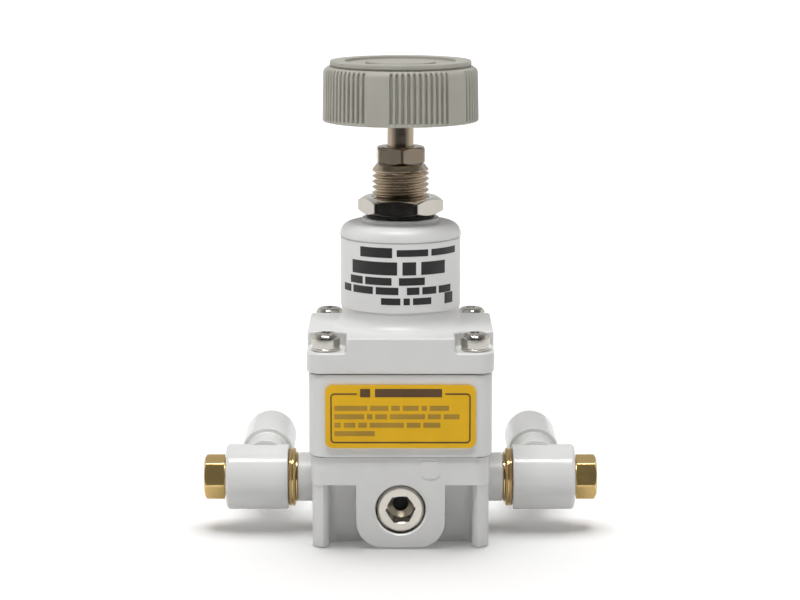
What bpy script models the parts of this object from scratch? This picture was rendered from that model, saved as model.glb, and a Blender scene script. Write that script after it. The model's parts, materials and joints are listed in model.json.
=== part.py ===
"""Precision air pressure regulator with a knurled knob and two swivelling elbow fittings.

Lengths in this file are in millimetres and become metres as each mesh is made. The frame has
+Z up along the adjusting screw, X from port to port and -Y out of the front face. The origin is
the centre of the underside. Revolved shapes are given as (radius, station) outlines.
"""

import math

import bmesh
import bpy
from mathutils import Matrix, Vector

MM = 0.001
WELD = 1e-7

# Sides of the faceted rounds.
LARGE_ROUND = 32
ROUND = 20
SMALL_ROUND = 14
HOLE = 8

SEAM = 0.2
FIT = 0.1

# Square housings, from the bottom up.
LOWER_WIDTH = 33.9
MIDDLE_WIDTH = 34.6
FLANGE_WIDTH = 35.3
CORNER_RADIUS = 3.0
LOWER_TOP = 17.4
MIDDLE_TOP = 33.45
FLANGE_TOP = 40.55
EAR_FLOOR = 37.65
EAR_SIZE = 7.4
SCREW_SPACING = 28.2
SCREW_HEAD_HEIGHT = 3.35

# Lightening pockets beside the port tongue of the lower housing.
POCKET_TOP = 12.15
POCKET_DEPTH = 4.5
POCKET_INNER = 8.4
POCKET_OUTER = 13.9
POCKET_FILLET = 1.6
TONGUE_CORNER = 5.0

# Bonnet.
BONNET_RADIUS = 11.35
LIP_RADIUS = 11.62
LIP_HEIGHT = 57.8
DOME_TOP = 60.2
BOSS_RADIUS = 7.4
BOSS_TOP = 61.1
SPRING_BORE = 9.6
LABEL_BOTTOM = 44.15
LABEL_TOP = 57.4

# Adjuster.
STEM_RADIUS = 2.55
THREAD_RADIUS = 5.45
THREAD_ROOT = 4.75
THREAD_PITCH = 1.07
BUSHING_TOP = 71.4
PANEL_NUT_FLATS = 14.5
PANEL_NUT_TURN = -67.4
PANEL_NUT_BOTTOM = 62.0
PANEL_NUT_TOP = 65.1
LOCK_NUT_FLATS = 9.0
LOCK_NUT_TURN = -86.0
LOCK_NUT_TOP = 74.75
SEAT_TOP = 52.4

# Knob.
KNOB_RADIUS = 14.93
KNOB_BOTTOM = 79.7
SKIRT_TOP = 89.4
KNOB_TOP = 91.2
GROOVE_DEPTH = 0.5
GROOVE_PITCH = 4.3
# First groove of each group, in degrees from the front towards +X, and its number of grooves.
GROOVE_GROUPS = ((-71.1, 11), (-6.9, 11), (57.3, 11), (121.6, 9), (177.3, 9), (233.0, 9))

# Valve and diaphragms.
CHAMBER_FLOOR = 13.0
DIAPHRAGM_RADIUS = 13.2
VALVE_BORE = 4.4
CAP_RADIUS = 6.4

# Ports.
PORT_HEIGHT = 7.3
PORT_BORE = 4.7
PLUG_SOCKET_FLATS = 5.0
PLUG_SOCKET_TURN = 4.0
FITTING_HEIGHT = 9.7
STUB_RADIUS = 4.75
STUB_END = 19.95
RING_START = 20.42
RING_END = 21.75
BANJO_RADIUS = 6.35
BANJO_INNER = 21.85
BANJO_OUTER = 33.95
BOLT_HEAD_END = 38.25
BOLT_FLATS = 7.7
BOLT_TURN = 19.0
TUBE_X = 26.45
TUBE_HEIGHT = 12.7
SLEEVE_RADIUS = 5.03
NECK_RADIUS = 4.25
SLEEVE_START = 7.8
SLEEVE_END = 24.5
TUBE_BORE = 3.15

WHITE = ((0.86, 0.87, 0.87), 0.35, 0.0)
GREY_PLASTIC = ((0.42, 0.43, 0.40), 0.5, 0.0)
YELLOW = ((0.80, 0.50, 0.03), 0.4, 0.0)
PAPER = ((0.90, 0.90, 0.90), 0.45, 0.0)
NICKEL = ((0.62, 0.58, 0.52), 0.25, 1.0)
STEEL = ((0.70, 0.70, 0.71), 0.25, 1.0)
BRASS = ((0.72, 0.50, 0.20), 0.25, 1.0)
ALUMINIUM = ((0.75, 0.76, 0.77), 0.35, 1.0)
RUBBER = ((0.02, 0.02, 0.02), 0.7, 0.0)
COLLET_GREY = ((0.80, 0.81, 0.80), 0.4, 0.0)


# --------------------------------------------------------------------------- building blocks


def clear_scene():
    for obj in list(bpy.data.objects):
        bpy.data.objects.remove(obj, do_unlink=True)


def finish_material(name, finish):
    colour, roughness, metallic = finish
    material = bpy.data.materials.new(name + "_finish")
    material.use_nodes = True
    shader = material.node_tree.nodes["Principled BSDF"]
    shader.inputs["Base Color"].default_value = (*colour, 1.0)
    shader.inputs["Roughness"].default_value = roughness
    shader.inputs["Metallic"].default_value = metallic
    return material


def add_object(name, bm, finish, place=None):
    """The bmesh, in millimetres, as one object in metres, moved by the matrix place."""
    bmesh.ops.remove_doubles(bm, verts=bm.verts, dist=WELD / MM)
    bmesh.ops.recalc_face_normals(bm, faces=bm.faces)
    if place is not None:
        bm.transform(place)
    bm.transform(Matrix.Scale(MM, 4))
    mesh = bpy.data.meshes.new(name)
    bm.to_mesh(mesh)
    bm.free()
    mesh.shade_smooth()
    mesh.set_sharp_from_angle(angle=math.radians(30))
    obj = bpy.data.objects.new(name, mesh)
    bpy.context.scene.collection.objects.link(obj)
    if finish is not None:
        mesh.materials.append(finish_material(name, finish))
    return obj


def along(axis, centre=(0.0, 0.0, 0.0)):
    """A matrix that lays local +Z along the given axis and moves the origin to centre."""
    turn = Vector((0, 0, 1)).rotation_difference(Vector(axis)).to_matrix().to_4x4()
    return Matrix.Translation(Vector(centre)) @ turn


def revolved(name, outline, finish=None, segments=SMALL_ROUND, place=None):
    """A solid of revolution about local Z. An outline that ends on the axis at both ends is solid
    there, and any other outline is closed into a ring."""
    bm = bmesh.new()
    points = [bm.verts.new((radius, 0.0, station)) for radius, station in outline]
    edges = [bm.edges.new(pair) for pair in zip(points, points[1:])]
    if outline[0][0] > 0 or outline[-1][0] > 0:
        edges.append(bm.edges.new((points[-1], points[0])))
    bmesh.ops.spin(
        bm,
        geom=points + edges,
        cent=(0, 0, 0),
        axis=(0, 0, 1),
        angle=2 * math.pi,
        steps=segments,
        use_merge=True,
    )
    return add_object(name, bm, finish, place)


def extruded(name, outline, low, high, finish=None, place=None, chamfer=0.0):
    """A straight prism of the outline from low to high, with both end edges chamfered."""
    bm = bmesh.new()
    face = bm.faces.new([bm.verts.new((x, y, low)) for x, y in outline])
    grown = bmesh.ops.extrude_face_region(bm, geom=[face])["geom"]
    top = [item for item in grown if isinstance(item, bmesh.types.BMVert)]
    bmesh.ops.translate(bm, verts=top, vec=(0, 0, high - low))
    if chamfer > 0:
        rim = [
            edge
            for edge in bm.edges
            if abs(edge.verts[0].co.z - edge.verts[1].co.z) < chamfer
        ]
        bmesh.ops.bevel(
            bm, geom=rim, offset=chamfer, segments=1, affect="EDGES", profile=0.5
        )
    return add_object(name, bm, finish, place)


def arc(centre, radius, start, end, steps):
    """Points along an arc, with its angles in degrees."""
    angles = [math.radians(start + (end - start) * i / steps) for i in range(steps + 1)]
    return [
        (centre[0] + radius * math.cos(a), centre[1] + radius * math.sin(a))
        for a in angles
    ]


def rounded_rectangle(width, depth, radius, steps=3, centre=(0.0, 0.0)):
    half_x = width / 2 - radius
    half_y = depth / 2 - radius
    corners = [(half_x, half_y), (-half_x, half_y), (-half_x, -half_y), (half_x, -half_y)]
    points = []
    for quarter, (x, y) in enumerate(corners):
        middle = (centre[0] + x, centre[1] + y)
        points += arc(middle, radius, 90 * quarter, 90 * quarter + 90, steps)
    return points


def hexagon(across_flats, turn=0.0):
    corner_radius = across_flats / math.sqrt(3)
    return arc((0, 0), corner_radius, turn, turn + 300, 5)


def modify(target, other, operation):
    """A Boolean on target with a helper object, which is then hidden."""
    other.hide_render = True
    other.display_type = "WIRE"
    other.parent = target
    boolean = target.modifiers.new(operation.lower(), "BOOLEAN")
    boolean.operation = operation
    boolean.solver = "EXACT"
    boolean.object = other


def cut(target, *cutters):
    for cutter in cutters:
        modify(target, cutter, "DIFFERENCE")


def join(target, *pieces):
    for piece in pieces:
        modify(target, piece, "UNION")


def rod(name, radius, start, end, segments=SMALL_ROUND):
    """A plain cylinder between two points."""
    start, end = Vector(start), Vector(end)
    length = (end - start).length
    outline = [(0, 0), (radius, 0), (radius, length), (0, length)]
    return revolved(name, outline, None, segments, along(end - start, start))


def block(name, low, high):
    """A plain box between two corners."""
    bm = bmesh.new()
    bmesh.ops.create_cube(bm, size=1.0)
    size = Vector(high) - Vector(low)
    middle = (Vector(high) + Vector(low)) / 2
    return add_object(name, bm, None, Matrix.Translation(middle) @ Matrix.Diagonal((*size, 1)))


def o_ring(name, major, minor, place, segments=12, sides=5):
    outline = arc((major, 0), minor, 0, 360 - 360 / sides, sides - 1)
    return revolved(name, outline, RUBBER, segments, place)


def coil(name, low, high, major, wire, turns, finish, steps=12, sides=5):
    """A compression spring of round wire about Z, between the heights low and high."""
    bm = bmesh.new()
    rise = high - low - 2 * wire
    rings = []
    count = round(turns * steps)
    for i in range(count + 1):
        share = i / count
        angle = 2 * math.pi * turns * share
        outward = Vector((math.cos(angle), math.sin(angle), 0))
        middle = outward * major + Vector((0, 0, low + wire + rise * share))
        ring = []
        for k in range(sides):
            round_wire = 2 * math.pi * k / sides
            offset = outward * math.cos(round_wire) + Vector((0, 0, math.sin(round_wire)))
            ring.append(bm.verts.new(middle + offset * wire))
        rings.append(ring)
    for first, second in zip(rings, rings[1:]):
        for k in range(sides):
            bm.faces.new((first[k], second[k], second[k - 1], first[k - 1]))
    bm.faces.new(rings[0])
    bm.faces.new(rings[-1][::-1])
    return add_object(name, bm, finish)


def corners(spacing):
    half = spacing / 2
    return [(half, half), (-half, half), (-half, -half), (half, -half)]


# --------------------------------------------------------------------------- housings


def pocket_outline(side):
    """One lightening pocket beside the port tongue, seen from the front, open at the bottom."""
    top = POCKET_TOP
    fillet = POCKET_FILLET
    points = [(POCKET_OUTER, -1.0)]
    points += arc((POCKET_OUTER - fillet, top - fillet), fillet, 0, 90, 2)
    points += arc((POCKET_INNER + fillet, top - fillet), fillet, 90, 180, 2)
    points += arc((POCKET_INNER - TONGUE_CORNER, TONGUE_CORNER), TONGUE_CORNER, 0, -90, 3)
    points.append((POCKET_INNER - TONGUE_CORNER, -1.0))
    return [(side * x, z) for x, z in points]


def make_lower_body():
    width = LOWER_WIDTH
    body = extruded(
        "lower_body", rounded_rectangle(width, width, CORNER_RADIUS), 0, LOWER_TOP, WHITE,
        chamfer=0.3,
    )
    for side in (-1, 1):
        base = (side * 15.0, 0, FITTING_HEIGHT)
        join(body, rod("stub", STUB_RADIUS, base, (side * STUB_END, 0, FITTING_HEIGHT), ROUND))
    for facing in (-1, 1):
        for side in (-1, 1):
            inner = width / 2 - POCKET_DEPTH
            place = Matrix.Rotation(math.pi / 2, 4, "X")
            low, high = sorted((-facing * inner, -facing * (width / 2 + 1)))
            cut(body, extruded("pocket", pocket_outline(side), low, high, None, place))
    valve_bore = [
        (0, -1), (CAP_RADIUS + SEAM, -1), (CAP_RADIUS + SEAM, 3.2), (VALVE_BORE, 3.2),
        (VALVE_BORE, 10.6), (2.6, 10.6), (2.6, CHAMBER_FLOOR), (11.0, CHAMBER_FLOOR),
        (11.0, 16.4), (DIAPHRAGM_RADIUS + SEAM, 16.4), (DIAPHRAGM_RADIUS + SEAM, 18.5), (0, 18.5),
    ]
    cut(body, revolved("valve_bore", valve_bore, None, ROUND))
    for facing in (-1, 1):
        mouth = (0, facing * (width / 2 + 1), PORT_HEIGHT)
        cut(body, rod("port_bore", PORT_BORE, mouth, (0, facing * 9.3, PORT_HEIGHT), ROUND))
        cut(body, rod("gauge_way", 0.8, (0, facing * 10.2, 7), (0, facing * 10.2, 14), HOLE))
    for side in (-1, 1):
        mouth = (side * (STUB_END + 1), 0, FITTING_HEIGHT)
        cut(body, rod("stud_bore", 3.2, mouth, (side * 13.2, 0, FITTING_HEIGHT)))
    inlet_end = (-VALVE_BORE + 0.4, 0, 8.6)
    cut(body, rod("inlet_way", 1.6, (-14, 0, 8.6), inlet_end, HOLE))
    cut(body, rod("outlet_way", 1.6, (14, 0, 10.0), (8.6, 0, 10.0), HOLE))
    cut(body, rod("outlet_riser", 1.5, (8.8, 0, 10.0), (8.8, 0, 14.0), HOLE))
    for x, y in corners(SCREW_SPACING):
        cut(body, rod("screw_hole", 1.6, (x, y, 12.9), (x, y, 18.5), HOLE))
    return body


def make_middle_body():
    outline = rounded_rectangle(MIDDLE_WIDTH, MIDDLE_WIDTH, CORNER_RADIUS)
    body = extruded("middle_body", outline, LOWER_TOP + SEAM, MIDDLE_TOP, WHITE, chamfer=0.3)
    bore = [
        (0, 16), (12.0, 16), (12.0, 22.3), (11.2, 22.3), (11.2, 32.5),
        (DIAPHRAGM_RADIUS + SEAM, 32.5), (DIAPHRAGM_RADIUS + SEAM, 35), (0, 35),
    ]
    cut(body, revolved("bore", bore, None, ROUND))
    for x, y in corners(SCREW_SPACING):
        cut(body, rod("screw_hole", 1.7, (x, y, 16), (x, y, 35), HOLE))
    return body


def make_bonnet():
    outline = rounded_rectangle(FLANGE_WIDTH, FLANGE_WIDTH, CORNER_RADIUS)
    bonnet = extruded("bonnet", outline, MIDDLE_TOP + SEAM, FLANGE_TOP, WHITE, chamfer=0.3)
    ear = EAR_SIZE
    reach = FLANGE_WIDTH / 2 - ear
    for x, y in ((1, 1), (-1, 1), (-1, -1), (1, -1)):
        middle = (x * (reach + ear), y * (reach + ear))
        corner = rounded_rectangle(2 * ear, 2 * ear, 3.0, 3, middle)
        cut(bonnet, extruded("ear", corner, EAR_FLOOR, FLANGE_TOP + 1))
    foot = 2.3
    tower = [(0, 36), (BONNET_RADIUS + foot, 36), (BONNET_RADIUS + foot, FLANGE_TOP - 0.05)]
    tower += arc(
        (BONNET_RADIUS + foot, FLANGE_TOP + foot - 0.05), foot, 270, 180, 3
    )
    tower += [(BONNET_RADIUS, LABEL_TOP + 0.1), (LIP_RADIUS, LABEL_TOP + 0.3)]
    tower += [(LIP_RADIUS, LIP_HEIGHT)]
    tower += arc((9.1, DOME_TOP - 2.3), 2.3, 10, 90, 3)
    tower += [(BOSS_RADIUS, DOME_TOP), (BOSS_RADIUS, BOSS_TOP - 0.15)]
    tower += [(BOSS_RADIUS - 0.15, BOSS_TOP), (0, BOSS_TOP)]
    join(bonnet, revolved("tower", tower, None, LARGE_ROUND))
    hollow = [
        (0, 32), (SPRING_BORE, 32), (SPRING_BORE, 56.0), (7.6, 56.0), (7.6, 58.5),
        (THREAD_RADIUS + FIT, 58.5), (THREAD_RADIUS + FIT, 63), (0, 63),
    ]
    cut(bonnet, revolved("hollow", hollow, None, ROUND))
    for x, y in corners(SCREW_SPACING):
        cut(bonnet, rod("screw_hole", 1.7, (x, y, 32), (x, y, 42), HOLE))
    return bonnet


def make_bonnet_label():
    """A printed band stuck round the bonnet, with its seam at the back."""
    inner = BONNET_RADIUS + 0.06
    outer = inner + 0.12
    outline = [
        (inner, LABEL_BOTTOM), (outer, LABEL_BOTTOM), (outer, LABEL_TOP), (inner, LABEL_TOP)
    ]
    label = revolved("bonnet_label", outline, PAPER, LARGE_ROUND)
    cut(label, block("label_seam", (-0.6, 8, LABEL_BOTTOM - 1), (0.6, 13, LABEL_TOP + 1)))
    return label


def make_front_plate():
    place = Matrix.Rotation(math.pi / 2, 4, "X")
    outline = rounded_rectangle(28.3, 12.1, 1.3, 3, (0, 25.57))
    face = MIDDLE_WIDTH / 2 + 0.08
    return extruded("front_plate", outline, face, face + 0.4, YELLOW, place)


def cross_recess(name, place):
    """A cross-point driver recess as one star-shaped cutter."""
    arm, reach = 0.42, 1.5
    points = []
    for quarter in range(4):
        turn = Matrix.Rotation(math.radians(90 * quarter), 2)
        for x, y in ((reach, -arm), (reach, arm), (arm, arm)):
            points.append(tuple(turn @ Vector((x, y))))
    return extruded(name, points, 39.6, 42.0, None, place)


def make_cover_screws():
    under_head = EAR_FLOOR + FIT
    outline = [(0, 13.2), (1.2, 13.2), (1.45, 13.6), (1.45, under_head), (2.7, under_head)]
    top = under_head + SCREW_HEAD_HEIGHT
    outline += [(2.7, top - 0.95), (2.3, top - 0.35), (1.3, top - 0.05), (0, top)]
    for number, (x, y) in enumerate(corners(SCREW_SPACING), 1):
        place = Matrix.Translation((x, y, 0))
        screw = revolved(f"cover_screw_{number}", outline, STEEL, SMALL_ROUND, place)
        turned = place @ Matrix.Rotation(math.radians(20 + 31 * number), 4, "Z")
        cut(screw, cross_recess("driver_recess", turned))


def port_plug(name, facing):
    """A blanking plug with a hexagon socket. facing is the sign of Y that its face looks along."""
    face = LOWER_WIDTH / 2 - 0.3
    outline = [(0, 9.6), (3.9, 9.6), (PORT_BORE - SEAM, 10.2), (PORT_BORE - SEAM, face - 0.3)]
    outline += [(PORT_BORE - SEAM - 0.3, face), (0, face)]
    place = along((0, facing, 0), (0, 0, PORT_HEIGHT))
    plug = revolved(name, outline, NICKEL, ROUND, place)
    socket = hexagon(PLUG_SOCKET_FLATS, PLUG_SOCKET_TURN)
    cut(plug, extruded("hex_socket", socket, 12.0, face + 1, None, place))
    drill = [(0, 10.6), (1.45, 10.9), (1.45, 12.4), (0, 12.4)]
    cut(plug, revolved("drill", drill, None, HOLE, place))
    return plug


# --------------------------------------------------------------------------- inside the housings


def make_bottom_cap():
    outline = [
        (0, 0), (CAP_RADIUS - 0.3, 0), (CAP_RADIUS, 0.3), (CAP_RADIUS, 0.9), (5.4, 0.9), (5.4, 2.1),
        (CAP_RADIUS, 2.1), (CAP_RADIUS, 3.0), (2.0, 3.0), (2.0, 5.5), (1.25, 5.5), (1.25, 1.5),
        (0, 1.5),
    ]
    revolved("bottom_cap", outline, BRASS)
    o_ring("cap_seal", 5.98, 0.45, Matrix.Translation((0, 0, 1.5)))


def make_valve():
    poppet = [
        (0, 3.0), (1.15, 3.0), (1.15, 8.3), (3.6, 8.3), (3.6, 9.9), (3.3, 10.2), (0.7, 10.2),
        (0.7, 14.2), (0, 14.2),
    ]
    revolved("valve_poppet", poppet, BRASS)
    seat = [(1.5, 10.3), (2.1, 10.3), (2.45, 10.75), (2.45, 12.8), (1.5, 12.8)]
    revolved("valve_seat", seat, RUBBER)
    coil("valve_spring", 3.1, 8.2, 3.0, 0.32, 4.25, STEEL, 8, 4)


def rubber_diaphragm(name, inner, low, fold):
    """A flat rubber ring, with one rolled fold of the given radius near its rim."""
    thickness = 0.45
    bottom = [(inner, low)]
    if fold > 0:
        bottom += arc((10.1, low), fold, 180, 0, 4)
    bottom.append((DIAPHRAGM_RADIUS, low))
    top = [(radius, height + thickness) for radius, height in reversed(bottom)]
    return revolved(name, bottom + top, RUBBER)


def make_main_diaphragm():
    rubber_diaphragm("main_diaphragm", 3.2, 16.6, 0.9)
    relief = [
        (0.45, 14.35), (1.3, 14.35), (1.3, 15.2), (8.2, 15.2), (8.2, 16.4), (2.7, 16.4),
        (2.7, 20.2), (0.45, 20.2),
    ]
    revolved("relief_plate", relief, ALUMINIUM)
    upper = [(2.9, 17.25), (8.2, 17.25), (8.2, 18.2), (2.9, 18.2)]
    revolved("diaphragm_plate", upper, ALUMINIUM)
    nut = extruded("diaphragm_nut", hexagon(8.0), 18.35, 20.0, STEEL)
    cut(nut, rod("nut_bore", 2.85, (0, 0, 17), (0, 0, 21)))


def make_pilot():
    block_outline = [
        (1.7, 22.5), (11.0, 22.5), (11.0, 24.6), (8.6, 24.6), (8.6, 26.0), (1.7, 26.0)
    ]
    revolved("nozzle_block", block_outline, ALUMINIUM, ROUND)
    nozzle = [
        (0.35, 21.6), (1.55, 21.6), (1.55, 26.2), (2.6, 26.2), (2.6, 27.2), (1.3, 27.2),
        (0.8, 28.6), (0.35, 28.6),
    ]
    revolved("nozzle", nozzle, BRASS, HOLE)
    flapper = [
        (0, 29.0), (2.4, 29.0), (2.4, 29.7), (1.1, 29.7), (1.1, 35.4), (0, 35.4)
    ]
    revolved("flapper", flapper, STEEL)
    lower = [(1.25, 31.0), (6.0, 31.0), (6.0, 32.4), (1.25, 32.4)]
    revolved("pilot_plate", lower, ALUMINIUM)
    rubber_diaphragm("pilot_diaphragm", 1.9, 32.65, 0.0)
    upper = [
        (1.25, 33.3), (7.0, 33.3), (7.0, 34.7), (3.8, 34.7), (3.8, 36.4), (1.25, 36.4)
    ]
    revolved("spring_plate", upper, ALUMINIUM)


def make_range_spring():
    coil("range_spring", 34.85, 48.75, 5.7, 0.8, 5.5, STEEL, 12, 5)
    seat = [
        (0, 46.8), (4.0, 46.8), (4.2, 47.0), (4.2, 48.9), (7.4, 48.9), (7.4, 50.6),
        (3.4, 50.9), (3.4, SEAT_TOP), (0, SEAT_TOP),
    ]
    revolved("spring_seat", seat, STEEL)


# --------------------------------------------------------------------------- adjuster and knob


def make_threaded_bushing():
    bore = STEM_RADIUS + FIT
    outline = [(bore, 56.7), (7.3, 56.7), (7.3, 58.3), (THREAD_RADIUS, 58.3)]
    outline += [(THREAD_RADIUS, 61.6)]
    turns = int((BUSHING_TOP - 1.1 - 61.6) / THREAD_PITCH)
    for turn in range(turns):
        crest = 61.6 + THREAD_PITCH * turn
        outline += [(THREAD_ROOT, crest + THREAD_PITCH / 2), (THREAD_RADIUS, crest + THREAD_PITCH)]
    outline += [(THREAD_ROOT, BUSHING_TOP - 0.2), (THREAD_ROOT - 0.2, BUSHING_TOP)]
    outline += [(bore, BUSHING_TOP)]
    revolved("threaded_bushing", outline, NICKEL)


def chamfered_nut(name, flats, turn, low, high, bore, finish):
    """A hexagon nut whose corners are rounded off by a cone at both ends."""
    nut = extruded(name, hexagon(flats, turn), low, high, finish)
    across_corners = flats / math.sqrt(3)
    small = flats / 2 * 0.96
    drop = (across_corners - small) * math.tan(math.radians(30))
    envelope = revolved(
        "nut_envelope",
        [
            (0, low - 0.01), (small, low - 0.01), (across_corners + 0.05, low + drop),
            (across_corners + 0.05, high - drop), (small, high + 0.01), (0, high + 0.01),
        ],
        None,
        ROUND,
    )
    modify(nut, envelope, "INTERSECT")
    cut(nut, rod("nut_bore", bore, (0, 0, low - 1), (0, 0, high + 1), ROUND))
    return nut


def make_nuts():
    chamfered_nut(
        "panel_nut", PANEL_NUT_FLATS, PANEL_NUT_TURN, PANEL_NUT_BOTTOM, PANEL_NUT_TOP,
        THREAD_RADIUS + FIT, NICKEL,
    )
    low, high = BOSS_TOP + 0.06, PANEL_NUT_BOTTOM - 0.06
    gasket = [(5.6, low), (6.5, low), (6.5, high), (5.6, high)]
    revolved("nut_gasket", gasket, RUBBER, ROUND)
    chamfered_nut(
        "stem_lock_nut", LOCK_NUT_FLATS, LOCK_NUT_TURN, BUSHING_TOP + FIT, LOCK_NUT_TOP,
        STEM_RADIUS + FIT, NICKEL,
    )


def make_adjusting_screw():
    tip = SEAT_TOP + FIT
    outline = [
        (0, tip), (1.4, tip), (1.8, tip + 0.4), (STEM_RADIUS, tip + 1.6), (STEM_RADIUS, 86.0),
        (1.25, 86.0), (1.25, 81.6), (0, 81.6),
    ]
    revolved("adjusting_screw", outline, NICKEL)


def skirt_ring(radius, depth):
    """One level of the knob's outer wall, as a crest and a valley for each groove and one more
    crest that ends each group. depth is how far the valleys reach in."""
    points = []
    for start, count in GROOVE_GROUPS:
        marks = []
        for groove in range(count):
            middle = start + GROOVE_PITCH * groove
            marks += [(middle - GROOVE_PITCH / 2, radius), (middle, radius - depth)]
        marks.append((start + GROOVE_PITCH * (count - 0.5), radius))
        for degrees, reach in marks:
            angle = math.radians(degrees - 90)
            points.append((reach * math.cos(angle), reach * math.sin(angle)))
    return points


def make_knob():
    levels = [
        (KNOB_BOTTOM, KNOB_RADIUS, 0), (KNOB_BOTTOM + 0.65, KNOB_RADIUS, GROOVE_DEPTH),
        (SKIRT_TOP, KNOB_RADIUS - 0.2, GROOVE_DEPTH), (SKIRT_TOP + 0.4, KNOB_RADIUS - 0.7, 0),
    ]
    bm = bmesh.new()
    rings = []
    for height, radius, depth in levels:
        rings.append([bm.verts.new((x, y, height)) for x, y in skirt_ring(radius, depth)])
    for lower, upper in zip(rings, rings[1:]):
        for i in range(len(lower)):
            bm.faces.new((lower[i - 1], lower[i], upper[i], upper[i - 1]))
    bm.faces.new(rings[0][::-1])
    bm.faces.new(rings[-1])
    knob = add_object("knob", bm, GREY_PLASTIC)
    top_disc = [
        (0, 88), (13.7, 88), (13.7, 90.2), (13.5, 90.3), (13.5, KNOB_TOP - 0.2),
        (13.3, KNOB_TOP), (10.7, KNOB_TOP), (10.7, 90.6), (0, 90.6),
    ]
    join(knob, revolved("top_disc", top_disc, None, LARGE_ROUND))
    hollow = [
        (5.0, 78), (13.2, 78), (13.2, 87.0), (12.6, 87.6), (5.6, 87.6), (5.0, 87.0)
    ]
    cut(knob, revolved("skirt_hollow", hollow, None, ROUND))
    bore = [
        (0, 78), (STEM_RADIUS + FIT, 78), (STEM_RADIUS + FIT, 86.1), (1.3, 86.1), (1.3, 88.0),
        (3.2, 88.0), (3.2, 89.8), (6.75, 89.8), (6.75, 92), (0, 92),
    ]
    cut(knob, revolved("knob_bore", bore, None, ROUND))
    cap = [(0, 89.95), (6.45, 89.95), (6.6, 90.1), (6.6, 90.85), (6.4, 91.0), (0, 91.0)]
    revolved("knob_cap", cap, GREY_PLASTIC, ROUND)
    screw = [(0, 82.0), (1.15, 82.0), (1.15, 88.1), (2.6, 88.1), (2.6, 89.2), (1.9, 89.6), (0, 89.6)]
    revolved("knob_screw", screw, STEEL)


# --------------------------------------------------------------------------- side fittings


def at_fitting(side):
    """A matrix whose local Z runs outwards along the fitting's axis."""
    return along((side, 0, 0), (0, 0, FITTING_HEIGHT))


def make_banjo_bolt(side, hand):
    place = at_fitting(side)
    outline = [(0, 31.0), (1.4, 31.0), (1.4, 13.8), (2.7, 13.8), (2.95, 14.1)]
    outline += [(2.95, BANJO_OUTER + 0.15), (3.7, BANJO_OUTER + 0.15), (3.7, BANJO_OUTER + 0.6)]
    outline += [(0, BANJO_OUTER + 0.6)]
    bolt = revolved("banjo_bolt_" + hand, outline, BRASS, SMALL_ROUND, place)
    low, high = BANJO_OUTER + 0.35, BOLT_HEAD_END
    head = extruded("bolt_head", hexagon(BOLT_FLATS, -side * BOLT_TURN), low, high, None, place)
    corner = BOLT_FLATS / math.sqrt(3)
    envelope = [
        (0, low - 0.05), (corner + 0.1, low - 0.05), (corner + 0.1, high - 0.5),
        (BOLT_FLATS / 2 - 0.1, high + 0.01), (0, high + 0.01),
    ]
    modify(head, revolved("head_envelope", envelope, None, ROUND, place), "INTERSECT")
    join(bolt, head)
    middle = side * (BANJO_INNER + BANJO_OUTER) / 2
    for low_point, high_point in (((0, -4), (0, 4)), ((-4, 0), (4, 0))):
        start = (middle, low_point[0], FITTING_HEIGHT + low_point[1])
        end = (middle, high_point[0], FITTING_HEIGHT + high_point[1])
        cut(bolt, rod("cross_hole", 0.9, start, end, 8))


def make_rings(side, hand):
    place = at_fitting(side)
    base = [
        (3.1, RING_START), (5.6, RING_START), (5.75, RING_START + 0.15), (5.75, RING_END - 0.1),
        (5.65, RING_END), (3.1, RING_END),
    ]
    revolved("base_ring_" + hand, base, BRASS, ROUND, place)
    low, high = STUB_END + 0.07, RING_START - 0.07
    washer = [(3.1, low), (4.9, low), (4.9, high), (3.1, high)]
    revolved("thread_washer_" + hand, washer, BRASS, SMALL_ROUND, place)
    for name, station in (("inner", 23.6), ("outer", 32.2)):
        at_groove = place @ Matrix.Translation((0, 0, station))
        o_ring(f"{name}_o_ring_{hand}", 3.5, 0.36, at_groove)


def make_elbow(side, hand):
    place = at_fitting(side)
    edge = 0.4
    barrel = [
        (0, BANJO_INNER), (BANJO_RADIUS - edge, BANJO_INNER), (BANJO_RADIUS, BANJO_INNER + edge),
        (BANJO_RADIUS, BANJO_OUTER - edge), (BANJO_RADIUS - edge, BANJO_OUTER), (0, BANJO_OUTER),
    ]
    elbow = revolved("elbow_" + hand, barrel, WHITE, ROUND, place)
    branch = [
        (0, -0.1), (NECK_RADIUS, -0.1), (NECK_RADIUS, SLEEVE_START), (SLEEVE_RADIUS - 0.3, SLEEVE_START),
        (SLEEVE_RADIUS, SLEEVE_START + 0.3), (SLEEVE_RADIUS, SLEEVE_END - 0.3),
        (SLEEVE_RADIUS - 0.3, SLEEVE_END), (0, SLEEVE_END),
    ]
    tube_axis = along((0, 1, 0), (side * TUBE_X, 0, TUBE_HEIGHT))
    join(elbow, revolved("branch", branch, None, ROUND, tube_axis))
    bolt_bore = [
        (0, 20), (3.05, 20), (3.05, 23.1), (4.0, 23.1), (4.0, 24.1), (3.05, 24.1), (3.05, 25.7),
        (4.3, 25.7), (4.3, 30.1), (3.05, 30.1), (3.05, 31.7), (4.0, 31.7), (4.0, 32.7),
        (3.05, 32.7), (3.05, 33.4), (3.9, 33.4), (3.9, 36), (0, 36),
    ]
    cut(elbow, revolved("bolt_bore", bolt_bore, None, SMALL_ROUND, place))
    tube_way = [
        (0, 0.6), (1.8, 0.6), (1.8, 8.6), (TUBE_BORE, 8.6), (TUBE_BORE, 12.4), (4.15, 12.4),
        (4.15, 26), (0, 26),
    ]
    cut(elbow, revolved("tube_way", tube_way, None, SMALL_ROUND, tube_axis))


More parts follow.
